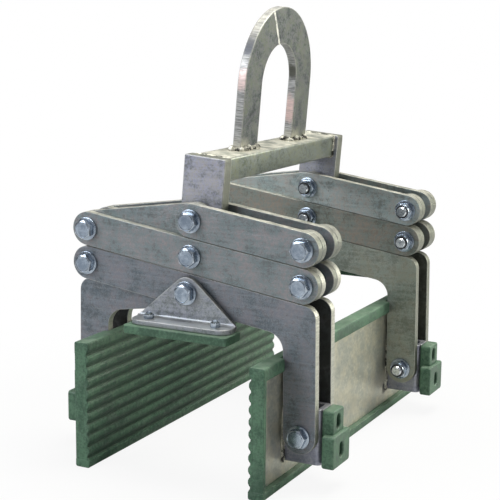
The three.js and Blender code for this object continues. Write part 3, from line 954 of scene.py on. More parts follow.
@dataclass(frozen=True)
class SteelFinish(Finish):
    """Zinc-coated plate.

    Attributes:
        dark: Darkest tone of the faces.
        light: Lightest tone of the faces.
        warm: Colour that comes and goes in large patches.
        cool: Colour of part of the spangles.
        rim: Colour of the cut rims.
        groove: Colour of the cutting lines across the rims.
        lined: Strength of those lines.
        scale: Scale of the patches, per metre.
        scratch: Strength of the scratches.
        metallic: Share of metal.
        roughness: Mean roughness.
        uneven: Range of the roughness.
        spangled: Share of the cool colour where the spangles are.
        marks: Centre and radius of each weld's heat mark, in metres.
        patches: Centre, radius and colour of each discoloured length of rim.
        bump: Strength of the relief.
        depth: Depth of the relief, in metres.
        wear: Strength of the bright edges.
        dust: Strength of the dust and painted top light on upper faces.
        scratched: Colour of the scratches.
        bright: Colour of the worn edges.
        grime: Colour of the painted shade in seams and between the plates of a pair.
        dust_and_top_light_colour: Colour of the dust and painted top light.
        straw: Colour of a heat mark's halo.
        soot: Colour of a heat mark's middle.
    """

    dark: Colour
    light: Colour
    warm: Colour
    cool: Colour = (0.17, 0.18, 0.26)
    rim: Colour = (0.33, 0.33, 0.27)
    groove: Colour = (0.1, 0.1, 0.09)
    lined: float = 0.4
    scale: float = 24.0
    scratch: float = 0.35
    metallic: float = 0.6
    roughness: float = 0.4
    uneven: float = 0.2
    spangled: float = 0.4
    marks: tuple[tuple[Colour, float], ...] = ()
    patches: tuple[tuple[Colour, float, Colour], ...] = ()
    bump: float = 0.22
    depth: float = 0.0006
    wear: float = 0.3
    dust: float = 0.25
    scratched: Colour = (0.55, 0.57, 0.6)
    bright: Colour = (0.74, 0.73, 0.68)
    grime: Colour = (0.03, 0.03, 0.022)
    dust_and_top_light_colour: Colour = (0.6, 0.58, 0.5)
    straw: Colour = (0.6, 0.57, 0.45)
    soot: Colour = (0.02, 0.018, 0.016)

    def edges(self, g: Graph, place: Socket, cut: dict) -> Socket:
        """Colour of the cut rims.

        Args:
            g: The material's graph.
            place: Object coordinates.
            cut: Outputs of the cutting lines.

        Returns:
            The colour, with its lines and its discoloured lengths.
        """
        rim = g.mix(g.times(cut["Lines"], self.lined), self.rim, self.groove)
        for centre, radius, tone in self.patches:
            patch = g.group(HEAT, {"Vector": place, "Centre": centre, "Radius": radius})
            shade = g.mix(g.times(cut["Lines"], 0.35), tone, self.groove)
            rim = g.mix(patch["Soot"], rim, shade)
        return rim

    def wire(self, g: Graph, place: Socket) -> dict:
        """Lays spangles, scratches, rims, bright edges, painted shade in gaps, dust with painted top light,
        and heat marks over the two tones.

        Args:
            g: The material's graph.
            place: Object coordinates.

        Returns:
            The shader's inputs.
        """
        grain = g.group(GRAIN, {"Vector": place, "Scale": self.scale})
        cut = g.group(CUT, {"Vector": place})
        worn = g.group(WEAR_AND_SHADE, {"Vector": place, "Amount": self.wear})
        dust = g.group(DUST_AND_TOP_LIGHT, {"Vector": place, "Amount": self.dust})
        colour = g.mix(grain["Tone"], self.dark, self.light)
        colour = g.mix(g.times(grain["Cloud"], 0.6), colour, self.warm)
        colour = g.mix(g.times(grain["Speck"], self.spangled), colour, self.cool)
        colour = g.mix(g.times(grain["Scratch"], self.scratch), colour, self.scratched)
        colour = g.mix(g.times(cut["Rim"], 0.9), colour, self.edges(g, place, cut))
        colour = g.mix(worn["Mask"], colour, self.bright)
        # Painted shade in the seams and between the plates of a pair.
        colour = g.mix(g.times(worn["Grime"], 0.9), colour, self.grime)
        # Dust, and painted top light, on faces that look up.
        colour = g.mix(dust["Mask"], colour, self.dust_and_top_light_colour)
        for centre, radius in self.marks:
            heat = g.group(HEAT, {"Vector": place, "Centre": centre, "Radius": radius})
            colour = g.mix(g.times(heat["Halo"], 0.35), colour, self.straw)
            colour = g.mix(g.times(heat["Soot"], 0.9), colour, self.soot)
        rough = g.plus(g.times(grain["Tone"], self.uneven), self.roughness - self.uneven / 2)
        rough = g.plus(rough, g.times(dust["Mask"], 0.2), clamp=True)
        rough = g.plus(rough, g.times(worn["Grime"], 0.3), clamp=True)
        height = g.plus(grain["Height"], g.times(g.times(cut["Rim"], cut["Lines"]), 0.8))
        height = g.math("SUBTRACT", height, g.times(grain["Scratch"], self.scratch))
        normal = g.bump(self.bump, self.depth, height)
        return {"Metallic": self.metallic, "Base Color": colour, "Roughness": rough, "Normal": normal}


@dataclass(frozen=True)
class BoltFinish(Finish):
    """Bright zinc on bolts, nuts, washers and sleeves.

    Attributes:
        dark: Darkest tone.
        light: Lightest tone.
        bright: Colour of the worn edges.
        metallic: Share of metal.
        roughness: Mean roughness.
        uneven: Range of the roughness.
    """

    dark: Colour
    light: Colour
    bright: Colour = (0.86, 0.9, 0.94)
    metallic: float = 0.95
    roughness: float = 0.2
    uneven: float = 0.12

    def wire(self, g: Graph, place: Socket) -> dict:
        """Lays bright edges over cloudy zinc.

        Args:
            g: The material's graph.
            place: Object coordinates.

        Returns:
            The shader's inputs.
        """
        grain = g.group(GRAIN, {"Vector": place, "Scale": 60.0})
        worn = g.group(WEAR_AND_SHADE, {"Vector": place, "Scale": 260.0, "Amount": 0.45})
        colour = g.mix(grain["Cloud"], self.dark, self.light)
        colour = g.mix(worn["Mask"], colour, self.bright)
        rough = g.plus(g.times(grain["Tone"], self.uneven), self.roughness - self.uneven / 2)
        normal = g.bump(0.05, 0.0004, grain["Height"])
        return {"Metallic": self.metallic, "Base Color": colour, "Roughness": rough, "Normal": normal}


@dataclass(frozen=True)
class WeldFinish(Finish):
    """Weld metal: silvery ripples with straw and soot between them.

    Attributes:
        dark: Darkest tone of the metal.
        light: Lightest tone of the metal.
        soot: Colour of the soot.
        metallic: Share of metal.
        roughness: Roughness.
    """

    dark: Colour = (0.3, 0.29, 0.24)
    light: Colour = (0.85, 0.83, 0.72)
    soot: Colour = (0.02, 0.02, 0.018)
    metallic: float = 0.6
    roughness: float = 0.38

    def wire(self, g: Graph, place: Socket) -> dict:
        """Lays spots of soot over the metal.

        Args:
            g: The material's graph.
            place: Object coordinates.

        Returns:
            The shader's inputs.
        """
        grain = g.group(GRAIN, {"Vector": place, "Scale": 160.0})
        spots = g.remap(g.noise(place, 108.0, 3.0, 0.6), 0.5, 0.58)
        colour = g.mix(grain["Tone"], self.dark, self.light)
        colour = g.mix(g.times(spots, 0.92), colour, self.soot)
        normal = g.bump(0.35, 0.0006, grain["Height"])
        even = {"Metallic": self.metallic, "Roughness": self.roughness}
        return {**even, "Base Color": colour, "Normal": normal}


@dataclass(frozen=True)
class RubberFinish(Finish):
    """Moulded rubber.

    Attributes:
        dark: Darkest tone.
        light: Lightest tone.
        scuff: Colour of the scuffs.
        recess_shade: Painted shade in grooves and slots, and on the lower side of each rib.
        roughness: Mean roughness.
        uneven: Range of the roughness.
        scuffed: Strength of the scuffs.
        dust_and_top_light_colour: Colour of the dust and painted top light.
        ior: Index of refraction.
    """

    dark: Colour
    light: Colour
    scuff: Colour = (0.2, 0.29, 0.22)
    recess_shade: Colour = (0.014, 0.038, 0.023)
    roughness: float = 0.58
    uneven: float = 0.2
    scuffed: float = 0.22
    dust_and_top_light_colour: Colour = (0.3, 0.36, 0.28)
    ior: float = 1.45

    def wire(self, g: Graph, place: Socket) -> dict:
        """Lays painted shade in grooves and slots, scuffs, and dust with painted top light over the two
        tones.

        Args:
            g: The material's graph.
            place: Object coordinates.

        Returns:
            The shader's inputs.
        """
        body = g.group(RUBBER, {"Vector": place})
        dust = g.group(DUST_AND_TOP_LIGHT, {"Vector": place, "Amount": 0.3})
        colour = g.mix(body["Tone"], self.dark, self.light)
        # Painted shade in grooves, slots and on the lower side of each rib.
        colour = g.mix(g.times(g.attribute(SIDE), 0.7), colour, self.recess_shade)
        colour = g.mix(g.times(body["Scuff"], self.scuffed), colour, self.scuff)
        colour = g.mix(dust["Mask"], colour, self.dust_and_top_light_colour)
        rough = g.plus(g.times(body["Tone"], self.uneven), self.roughness - self.uneven / 2)
        normal = g.bump(0.4, 0.0008, body["Height"])
        return {"IOR": self.ior, "Base Color": colour, "Roughness": rough, "Normal": normal}


# Sizes that the sub-assemblies share


@dataclass(frozen=True)
class Linkage:
    """Sizes of the link frames, and the places that follow from them."""

    pitch: float = 170.0
    width: float = 48.0
    thickness: float = 12.0
    edge_gap: float = 0.6
    layer_gap: float = 1.0
    leg_drop: float = 182.5
    jaw_pin: float = 74.0
    post_gap: float = 27.0
    frame_pitch: float = 390.0
    play: float = 0.5
    bolt: float = 16.0

    @property
    def stack(self) -> float:
        """Depth of one frame's four plate layers."""
        return 4 * self.thickness + 2 * self.layer_gap + self.post_gap

    @property
    def layers(self) -> list[float]:
        """Near face of each layer, from the near face of the frame."""
        step = self.thickness + self.layer_gap
        inner = step + self.thickness + self.post_gap
        return [0.0, step, inner, inner + step]

    @property
    def middle_gap(self) -> tuple[float, float]:
        """The gap between the second and third layer."""
        return self.layers[1] + self.thickness, self.layers[2]

    def near(self, end: End) -> float:
        """Y of the near face of a frame."""
        return (end.value * self.frame_pitch - self.stack) / 2

    @property
    def centres(self) -> dict[str, Array]:
        """Places of the bolts, fully open.

        Returns:
            Centres in X and Z, by name.
        """
        angle = math.asin((self.width + self.edge_gap) / self.pitch) / 2
        span, rise = self.pitch * math.cos(angle), self.pitch * math.sin(angle)
        foot = self.jaw_pin + self.leg_drop
        middle = (("top", 4), ("middle", 2), ("foot", 0))
        at = {name: np.array([0, foot + up * rise]) for name, up in middle}
        for name, side in (("left", -1), ("right", 1)):
            at[f"upper_{name}"] = np.array([side * span, foot + 3 * rise])
            at[f"lower_{name}"] = np.array([side * span, foot + rise])
            at[f"jaw_{name}"] = np.array([side * span, self.jaw_pin])
        return at


LINKS = Linkage()


def bolt_hole(centre: Sequence[float]) -> Array:
    """Outline of a bolt hole."""
    return arc(centre, LINKS.bolt / 2 + LINKS.play, 0, 360, HOLE_STEPS + 1)[:-1]


@dataclass
class LinkFrame:
    """One scissor frame: six pairs of plates, in front of the hanger post and behind it.

    The top links have a finish of their own, so that the rear ones can take a lighter copy of the olive zinc:
    painted light against the shade that falls on them.
    """

    end: End
    top_finish: bpy.types.Material
    cross_finish: bpy.types.Material
    leg_finish: bpy.types.Material
    seam: float = 1.3
    seam_grime: float = -0.8
    leg_grime: float = -1.0
    link_grime: float = -0.35
    elbow_inset: float = 2.5
    elbow_round: float = 18.0
    elbow_fillet: float = 26.0
    edge: float = 0.5
    margin: float = 0.8
    round_steps: int = 26

    def link(self, start: Array, end: Array) -> Array:
        """A straight link: half circles about both end bolts, joined by straight edges.

        Args:
            start: Centre of the first bolt.
            end: Centre of the last bolt.

        Returns:
            The outline.
        """
        angle = math.degrees(math.atan2(*(end - start)[::-1]))
        half = LINKS.width / 2
        first = arc(start, half, angle + 90, angle + 270, self.round_steps)
        last = arc(end, half, angle - 90, angle + 90, self.round_steps)
        return np.concatenate([first, last])

    def leg(self, mirror: float) -> Array:
        """A leg: an arm through two bolts, an elbow with a round outside and a filleted inside, and a shank.

        Args:
            mirror: 1 for the right leg, -1 for the left one.

        Returns:
            The outline. The elbow's arcs are moved out from the corner along both edge normals.
        """
        at = LINKS.centres
        far, pin, mid = at["lower_left"], at["jaw_right"], at["foot"]
        slope = (mid[1] - far[1]) / (mid[0] - far[0])
        elbow = np.array([pin[0] - self.elbow_inset, mid[1] + slope * (pin[0] - self.elbow_inset - mid[0])])
        arm = (elbow - far) / np.linalg.norm(elbow - far)
        shank = (pin - elbow) / np.linalg.norm(pin - elbow)
        over = np.array([-arm[1], arm[0]])
        out = np.array([-shank[1], shank[0]])
        corner = (over + out) / (1 + over @ out)
        half = LINKS.width / 2
        up_angle = math.degrees(math.atan2(over[1], over[0]))
        out_angle = math.degrees(math.atan2(out[1], out[0]))
        few = self.round_steps // 2
        loop = np.concatenate(
            [
                arc(far, half, up_angle + 180, up_angle, self.round_steps),
                arc(elbow + corner * (half - self.elbow_round), self.elbow_round, up_angle, out_angle, few),
                arc(pin, half, out_angle, out_angle - 180, self.round_steps),
                arc(elbow - corner * (half + self.elbow_fillet), self.elbow_fillet, out_angle, up_angle, few),
            ]
        )
        return loop * [mirror, 1]

    def build(self) -> None:
        """Builds and dresses the twelve plates, with painted shade in the seams and on the faces between the
        two of a pair.
        """
        at = LINKS.centres
        rows = [
            ("top_link_right", ("top", "upper_right"), 0, self.top_finish),
            ("top_link_left", ("top", "upper_left"), 1, self.top_finish),
            ("cross_link_a", ("upper_left", "middle", "lower_right"), 0, self.cross_finish),
            ("cross_link_b", ("upper_right", "middle", "lower_left"), 1, self.cross_finish),
            ("leg_right", ("lower_left", "foot", "jaw_right"), 0, self.leg_finish),
            ("leg_left", ("lower_right", "foot", "jaw_left"), 1, self.leg_finish),
        ]
        outlines = [self.link(at[bolts[0]], at[bolts[-1]]) for _, bolts, _, _ in rows[:4]]
        outlines += [self.leg(1), self.leg(-1)]
        for (label, bolts, layer, finish), outline in zip(rows, outlines):
            holes = [bolt_hole(at[bolt]) for bolt in bolts]
            flat = slab(outline, LINKS.thickness, self.edge, self.margin, holes)
            others = [o for row, o in zip(rows, outlines) if row[2] == layer and row[0] != label]
            # Where a plate meets its neighbours, it gets a painted shade along the seam.
            seam = np.min([apart(flat.points[:, :2], other) for other in others], axis=0) < self.seam
            flat = replace(flat, wear=np.where(seam, self.seam_grime, flat.wear))
            grime = self.leg_grime if "leg" in label else self.link_grime
            for number, skip, inner in ((1, 0, LINKS.thickness), (2, 2, 0.0)):
                node = f"{self.end.name.lower()}_{label}_{number}"
                # The face that looks into the gap between the two plates of a pair gets a painted shade.
                hidden = (flat.wear == 0) & (np.abs(flat.points[:, 2] - inner) < 0.01)
                gap_shaded = replace(flat, wear=np.where(hidden, grime, flat.wear))
                y = LINKS.near(self.end) + LINKS.layers[layer + skip]
                piece(f"{node}_plate", [stood(gap_shaded, y)], [finish], [node])


@dataclass
class BoltSet:
    """The nine bolts of a frame: head, washers, sleeve or spacers, locking nut and threaded end."""

    end: End
    finish: bpy.types.Material
    insert: bpy.types.Material
    across: float = 24.0
    head: float = 10.0
    nut: float = 13.0
    proud: float = 5.0
    washer: float = 33.0
    washer_thick: float = 3.0
    seat_gap: float = 0.3
    sleeve: float = 26.0
    post_washer: float = 3.5
    foot_washer: float = 4.0
    foot_sheet: float = 7.0
    ring_edge: float = 0.5
    thread_pitch: float = 2.0
    thread_depth: float = 0.7
    thread_rows: int = 34
    thread_wear: float = 2.2
    tip: float = 1.6
    tip_slope: float = 0.8
    hex_share: float = 0.66
    nut_crown: float = 0.96
    nut_spin: float = 1.7
    collar_foot: float = 6.0
    first_spin: float = 17.0
    spin_step: float = 37.0
    collar: Sequence = ((11.3, -2.6), (11.1, -1.5), (10.9, -0.6), (10.6, 0.0), (10.3, -0.1), (10.2, -2.0))
    inlay: Sequence = ((10.3, -2.0), (10.3, -0.7), (9.2, -0.4), (7.6, -0.6), (7.6, -2.0))

    def ring(self, radius: float, start: float, stop: float) -> Part:
        """A washer or sleeve on the shank, with its rims rounded.

        Args:
            radius: Outer radius.
            start: Where it starts along the bolt.
            stop: Where it stops.

        Returns:
            The part.
        """
        inner, e = LINKS.bolt / 2 + 0.2, self.ring_edge
        half = [(inner, 0.1), (radius - e, 0.0), (radius - 0.15, 0.15), (radius, e)]
        profile = [(r, start + h) for r, h in half] + [(r, stop - h) for r, h in half[::-1]]
        return lathe(profile, closed=True, wear=0.35)

    def thread(self, start: float, stop: float) -> Part:
        """The threaded end: radius less a wave of height over pitch minus turn, chamfered at its tip.

        Args:
            start: Where it starts along the bolt.
            stop: Its tip.

        Returns:
            The part.
        """
        h = np.linspace(start, stop, self.thread_rows)[:, None]
        a = np.linspace(0, 2 * math.pi, ROUND_STEPS, endpoint=False)[None]
        wave = 0.5 + 0.5 * np.cos(2 * math.pi * h / self.thread_pitch - a)
        r = LINKS.bolt / 2 - self.thread_depth * wave**1.5
        r = np.minimum(r, LINKS.bolt / 2 - 0.2 - np.maximum(0, h - stop + self.tip) * self.tip_slope)
        rings = np.stack([r * np.cos(a), r * np.sin(a), np.broadcast_to(h, r.shape)], axis=2)
        return grid_part(rings, self.thread_wear, ends=True)

    def parts(self, span: float, spacers: Sequence[tuple[float, float, float]], spin: float) -> list[Part]:
        """One bolt along c, from the seat of its head.

        Args:
            span: Depth of what it clamps.
            spacers: Diameter, start and end of each spacer, from the near face of what it clamps.
            spin: Turn of the head in degrees.

        Returns:
            Its parts.
        """
        near = self.washer_thick + self.seat_gap
        seat = span + 2 * near
        shank = LINKS.bolt / 2
        lip = seat + self.nut
        first, last = self.collar[0][0], self.collar[-1][0]
        collar = [(r, lip + h) for r, h in self.collar]
        collar = [(first, seat + self.collar_foot), *collar, (last, seat + self.collar_foot)]
        nut = hexagon(self.across, self.nut * self.hex_share, spin * self.nut_spin, self.nut_crown)
        made = [
            hexagon(self.across, self.head, spin).mapped(lambda p: p * [1, 1, -1]),
            self.ring(self.washer / 2, 0, self.washer_thick),
            lathe([(shank, -1), (shank, lip - 1)], wear=0.0),
            self.ring(self.washer / 2, seat - self.washer_thick, seat),
            nut.mapped(lambda p: p + [0, 0, seat]),
            lathe(collar, closed=True, wear=0.5),
            lathe([(r, lip + h) for r, h in self.inlay], closed=True, finish=1),
            self.thread(lip - 2, lip + self.proud),
        ]
        made += [self.ring(d / 2, near + a + self.seat_gap, near + b - self.seat_gap) for d, a, b in spacers]
        return made

    def build(self) -> None:
        """Builds and dresses the nine bolts. The jaw bolts clamp one pair only and have no spacers."""
        stack = LINKS.stack
        inner = LINKS.layers[2] + LINKS.thickness
        low, high = LINKS.middle_gap
        sleeve = (self.sleeve, low, high)
        posts = [(self.washer, low, low + self.post_washer), (self.washer, high - self.post_washer, high)]
        reach = self.foot_washer + self.foot_sheet
        foot_gap = (self.washer, -self.foot_washer, 0.0)
        rows = [("top", 0.0, stack, posts)]
        sleeved = ("upper_left", "upper_right", "middle", "lower_left", "lower_right")
        rows += [(label, 0.0, stack, [sleeve]) for label in sleeved]
        rows += [
            ("foot", -reach, stack, [sleeve, foot_gap]),
            ("jaw_right", 0.0, inner, []),
            ("jaw_left", LINKS.layers[1], LINKS.layers[1] + inner, []),
        ]
        frame_near = LINKS.near(self.end)
        seat = self.washer_thick + self.seat_gap
        for number, (label, start, stop, spacers) in enumerate(rows):
            local = [(d, a - start, b - start) for d, a, b in spacers]
            parts = self.parts(stop - start, local, self.first_spin + self.spin_step * number)
            x, z = LINKS.centres[label]
            if self.end is End.FRONT:
                y, sense = frame_near + start - seat, 1
            elif label.startswith("jaw"):
                y, sense = frame_near + stop + seat, -1
            else:
                y, sense = frame_near + stack - start + seat, -1
            placed = [stood(part, y, x, z, sense) for part in parts]
            node = f"{self.end.name.lower()}_bolt_{label}"
            piece(f"{node}_set", placed, [self.finish, self.insert], [node])


@dataclass
class Hanger:
    """Two posts, a cross beam and a lifting eye, welded together and leaning a little on the top bolts."""

    plate: bpy.types.Material
    beam_finish: bpy.types.Material
    eye_finish: bpy.types.Material
    weld: bpy.types.Material
    lean: float = 4.5
    post_width: float = 64.0
    post_thick: float = 20.0
    post_height: float = 86.0
    post_start: float = 28.5
    beam_width: float = 50.0
    beam_height: float = 35.0
    eye_outer: float = 111.7
    eye_inner: float = 58.0
    eye_legs: float = 92.0
    eye_thick: float = 13.0
    eye_foot: float = 0.3
    gap: float = 0.3
    beam_bead: float = 2.6
    eye_bead: float = 4.6
    seam_bead: float = 2.9
    seam_angles: tuple[float, float] = (1.9076, 1.7715)
    seam_wear: float = 3.0

    def leaned(self, p: Array) -> Array:
        """Turns points about the top bolts and lifts them there: x cos + z sin, z cos - x sin."""
        c, s = math.cos(math.radians(self.lean)), math.sin(math.radians(self.lean))
        x, y, z = p.T
        return np.stack([x * c + z * s, y, z * c - x * s + LINKS.centres["top"][1]], axis=1)

    def put(self, name: str, parts: Sequence[Part], nodes: Sequence[str], first: bpy.types.Material) -> None:
        """Leans parts with the hanger and writes them as a piece."""
        piece(name, [p.mapped(self.leaned) for p in parts], [first, self.weld], nodes)

    def post(self, end: End) -> list[Part]:
        """A post: round about its bolt and straight up to the top of the beam.

        Args:
            end: Its frame.

        Returns:
            Its one part.
        """
        half = self.post_width / 2
        crown = rounded([(half, self.post_height), (-half, self.post_height), (-half, 0), (half, 0)], 2.4)
        outline = np.concatenate([crown[: 2 * CORNER_STEPS], arc((0, 0), half, 180, 360, 40)])
        flat = slab(outline, self.post_thick, edge=1.2, margin=0.9, holes=[bolt_hole((0, 0))])
        return [stood(flat, LINKS.near(end) + self.post_start)]

    def beam(self) -> list[Part]:
        """The beam: a rounded section along Y, with a bead round each end where it meets its post.

        Returns:
            The bar and the two beads.
        """
        start = LINKS.near(End.FRONT) + self.post_start + self.post_thick + self.gap
        stop = LINKS.near(End.REAR) + self.post_start - self.gap
        half, low, high = self.beam_width / 2, self.post_height - self.beam_height, self.post_height
        section = rounded([(half, high), (-half, high), (-half, low), (half, low)], 4.0)
        bar = stood(slab(section, stop - start, edge=0.4, margin=0.0), start)
        steps = [0, 1, CORNER_STEPS - 2, CORNER_STEPS - 1]
        worn = np.tile(np.interp(np.arange(CORNER_STEPS), steps, [0, 0.8, 0.8, 0]), 4)
        bar = replace(bar.moulded(0.0), wear=np.tile(worn, len(bar.points) // len(worn)))
        seam = rounded([(half, high - 0.5), (-half, high - 0.5), (-half, low), (half, low)], 4.0, 10)
        ends = [
            bead_round(seam, 1, y, self.beam_bead, 1.0 + number, ceiling=high - 1.4)
            for number, y in enumerate((start + 1.0, stop - 1.0))
        ]
        return [bar] + ends

    def eye(self) -> list[Part]:
        """The eye: a broad arch on two legs, a ground seam across its crown and beads round its feet.

        Returns:
            The arch, the seam and the two beads.
        """
        centre, foot, half = (0.0, self.eye_legs), self.eye_foot, self.eye_thick / 2
        outline = np.concatenate(
            [
                [(self.eye_outer, foot)],
                arc(centre, self.eye_outer, 0, 180, 96),
                [(-self.eye_outer, foot), (-self.eye_inner, foot)],
                arc(centre, self.eye_inner, 180, 0, 72),
                [(self.eye_inner, foot)],
            ]
        )
        arch = faced(slab(outline, self.eye_thick, edge=1.1, margin=0.9), -half, self.post_height)
        ends = [
            (half, radius * math.cos(angle), radius * math.sin(angle))
            for radius, angle in zip((self.eye_outer, self.eye_inner), self.seam_angles)
        ]
        seam = line(*ends) + [0, 0, self.eye_legs + self.post_height]
        along = (seam[-1] - seam[0]) / np.linalg.norm(seam[-1] - seam[0])
        across = np.cross(along, [1.0, 0, 0])
        ridge = bead(seam, across, np.array([0.22, 0, 0]), self.seam_bead, seed=0.4, lumps=0.05)
        made = [arch, replace(ridge, wear=np.full_like(ridge.wear, self.seam_wear), finish=0)]
        deep, wide = half + 1, (self.eye_outer - self.eye_inner) / 2
        for number, sign in enumerate((-1, 1)):
            mid = sign * (self.eye_outer + self.eye_inner) / 2
            low, high = mid - wide - 1, mid + wide + 1
            loop = rounded([(deep, low), (deep, high), (-deep, high), (-deep, low)], 3.0)
            made.append(bead_round(loop, 2, self.post_height + 0.8, self.eye_bead, 2.0 + number, 0.26))
        return made

    def build(self) -> None:
        """Builds and dresses the hanger's four pieces."""
        for end in End:
            node = f"{end.name.lower()}_post"
            self.put(f"{node}_plate", self.post(end), [node], self.plate)
        self.put("cross_beam_bar", self.beam(), ["cross_beam"], self.beam_finish)
        self.put("lifting_eye_plate", self.eye(), ["lifting_eye"], self.eye_finish)


@dataclass
class Jaw:
    """A jaw: ribbed pad, steel back plate with two bearing channels, and two stepped buffers.

    It is worked out as the right one, from the grip face at x = 0, and the left one is turned half round.
    """

    side: Side
    plate: bpy.types.Material
    channel: bpy.types.Material
    weld: bpy.types.Material
    pad_finish: bpy.types.Material
    buffer_finish: bpy.types.Material
    opening: float = 250.0
    length: float = 600.0
    height: float = 182.0
    depth: float = 23.0
    ribs: int = 11
    rib_depth: float = 3.0
    groove_top: float = 6.0
    groove_floor: float = 3.0
    bulge: float = 1.5
    crest: float = 4.4
    top_lip: float = 18.0
    bottom_lip: float = 12.0
    end_lip: float = 8.0
    end_round: float = 1.3
    end_start: float = 0.4
    plate_face: float = 15.0
    plate_thick: float = 8.0
    notch_margin: float = 5.0
    ramp: float = 0.7
    groove_shade: float = 0.85
    crest_wear: float = 0.9
    face_wear: float = 0.25
    below: float = 41.0
    above: float = 37.5
    reach: float = 27.0
    wall: float = 8.0
    bend: float = 9.0
    bend_steps: int = 10
    bead_rows: tuple[tuple[float, float], ...] = ((1.4, 3.0), (5.8, 2.9))
    side_gap: float = 1.0
    gap: float = 0.3
    standoff: float = 4.5
    lower_width: float = 58.0
    lower_thick: float = 17.5
    upper_width: float = 37.0
    upper_thick: float = 17.0
    step: float = 5.5
    upper_height: float = 32.5
    slot_width: float = 12.0
    slot_height: float = 21.0
    slot_depth: float = 10.0
    block_corner: float = 5.0
    block_edge: float = 2.4
    lower_slot: float = 24.0
    upper_slot: float = 15.0

    @property
    def pitch(self) -> float:
        """Height of one rib with its groove."""
        return self.height / self.ribs

    @property
    def pocket(self) -> float:
        """X of the pad's back behind the steel plate."""
        return self.plate_face - self.plate_thick

    @property
    def channel_end(self) -> float:
        """X of the channels' outer face."""
        return LINKS.centres["jaw_right"][0] - self.opening / 2 + self.reach

    def legs(self) -> list[tuple[float, float]]:
        """Places of the leg plates along Y, as the jaw is before it is turned.

        Returns:
            The range of the front frame's pair and of the rear frame's.
        """
        layer = 0 if self.side is Side.RIGHT else 1
        rows = []
        for end in End:
            near = LINKS.near(end)
            faces = [near + LINKS.layers[layer], near + LINKS.layers[layer + 2] + LINKS.thickness]
            rows.append(tuple(sorted(self.side.value * y for y in faces)))
        return rows

    def placed(self, p: Array) -> Array:
        """Points of the right jaw put in place, turned half round for the left one."""
        sign = self.side.value
        return p * [sign, sign, 1] + [sign * self.opening / 2, 0, 0]

    def put(self, name: str, parts: Sequence[Part], node: str, materials: Sequence, slot: Slot) -> None:
        """Places parts with the jaw and writes them as a piece."""
        piece(name, [p.mapped(self.placed) for p in parts], materials, [node])

    def section(self) -> Array:
        """The pad's section in X and Z: a C with bulging ribs on its grip face and six points to a groove.

        Returns:
            The outline.
        """
        grooves = np.arange(self.ribs - 1, 0, -1)[:, None] * self.pitch
        half = np.array([(self.pitch - self.crest) / 2, self.groove_top / 2, self.groove_floor / 2])
        rise = grooves + np.concatenate([half, -half[::-1]])
        sunk = np.broadcast_to([0.0, self.bulge, self.rib_depth, self.rib_depth, self.bulge, 0.0], rise.shape)
        ribs = np.stack([sunk, rise], axis=2).reshape(-1, 2)
        back = [
            (0, 0),
            (self.depth, 0),
            (self.depth, self.bottom_lip),
            (self.pocket, self.bottom_lip),
            (self.pocket, self.height - self.top_lip),
            (self.depth, self.height - self.top_lip),
            (self.depth, self.height),
            (0, self.height),
        ]
        radii = [3.0, 3.0, 1.6, 1.6, 1.6, 1.6, 3.0, 3.0] + [2.5, 1.6, 0.8, 0.8, 1.6, 2.5] * len(grooves)
        return turned_round(rounded(np.concatenate([back, ribs]), radii, 5), True)

    def stations(self) -> Array:
        """Where the pad's rings are: round each end, and close together on the ramps of the notches.

        Returns:
            The inset and the Y of each ring.
        """
        t = np.radians(np.linspace(0, 90, RIM_STEPS + 1))
        inset, drop = self.end_round * (1 - np.sin(t)), self.end_round * (1 - np.cos(t))
        close = np.stack([inset, drop - self.length / 2], axis=1)
        rows = [close]
        for start, stop in sorted(self.legs()):
            for y in (start - self.notch_margin, stop + self.notch_margin):
                rows.append(np.stack([np.zeros(5), np.linspace(y - self.ramp, y + self.ramp, 5)], axis=1))
        return np.concatenate(rows + [(close * [1, -1])[::-1]])

    def lips(self) -> list[Part]:
        """The lips across both ends of the pad.

        Returns:
            The two parts.
        """
        low, high = self.bottom_lip - 4, self.height - self.top_lip + 4
        corners = [(self.pocket - 2, low), (self.depth, low), (self.depth, high), (self.pocket - 2, high)]
        thick = self.end_lip - self.end_start
        block = slab(rounded(corners, 1.8), thick, edge=self.end_round, margin=0.0).moulded(0.4)
        half = self.length / 2
        return [stood(block, y, -0.15) for y in (-half + self.end_start, half - self.end_lip)]

    def pad(self) -> list[Part]:
        """The pad: its section carried along Y, and a lip across each end.

        At the notches for the leg plates the back of the top lip moves in by its depth times a smooth step
        of y. Grooves take a painted shade where x is past the bulge, and each rib a painted shade towards its
        lower side.

        Returns:
            The body and the two lips.
        """
        section = self.section()
        rows = self.stations()
        flat = section[None] - outward(section)[None] * rows[:, :1, None]
        y = np.broadcast_to(rows[:, 1, None], flat.shape[:2])
        x, z = flat[..., 0].copy(), flat[..., 1]
        for start, stop in self.legs():
            since = y - (start - self.notch_margin) + self.ramp
            until = (stop + self.notch_margin) - y + self.ramp
            enter = smooth_step(np.clip(since / (2 * self.ramp), 0, 1))
            leave = smooth_step(np.clip(until / (2 * self.ramp), 0, 1))
            back_of_lip = (z > self.height - self.top_lip - 2.5) & (x > self.plate_face)
            x = np.where(back_of_lip, x - enter * leave * (x - self.plate_face), x)
        # Grooves and the lower side of each rib are given a painted shade through the side value.
        ribbed = (x < self.rib_depth + 0.2) & (z > 4) & (z < self.height - 4)
        deep = np.clip((x - self.bulge - 0.1) / 0.8, 0, 1)
        shaded = np.clip((0.5 - (z / self.pitch) % 1) / 0.32, 0, self.groove_shade) * (z > self.pitch)
        deep = np.maximum(deep, shaded) * ribbed
        grip = (x < 0.3) & (z > 2) & (z < self.height - 2)
        crest = np.where(grip, self.crest_wear, self.face_wear) * (1 - deep)
        rim = (np.abs(rows[:, 1]) > self.length / 2 - self.end_round - 0.1) * 0.5
        main = grid_part(np.stack([x, y, z], axis=2), np.maximum(crest, rim[:, None]), deep)
        ends = fill([flat[0]])
        last = (len(rows) - 1) * len(section)
        main = replace(main, tris=np.concatenate([ends[:, ::-1], ends + last]))
        return [main] + self.lips()

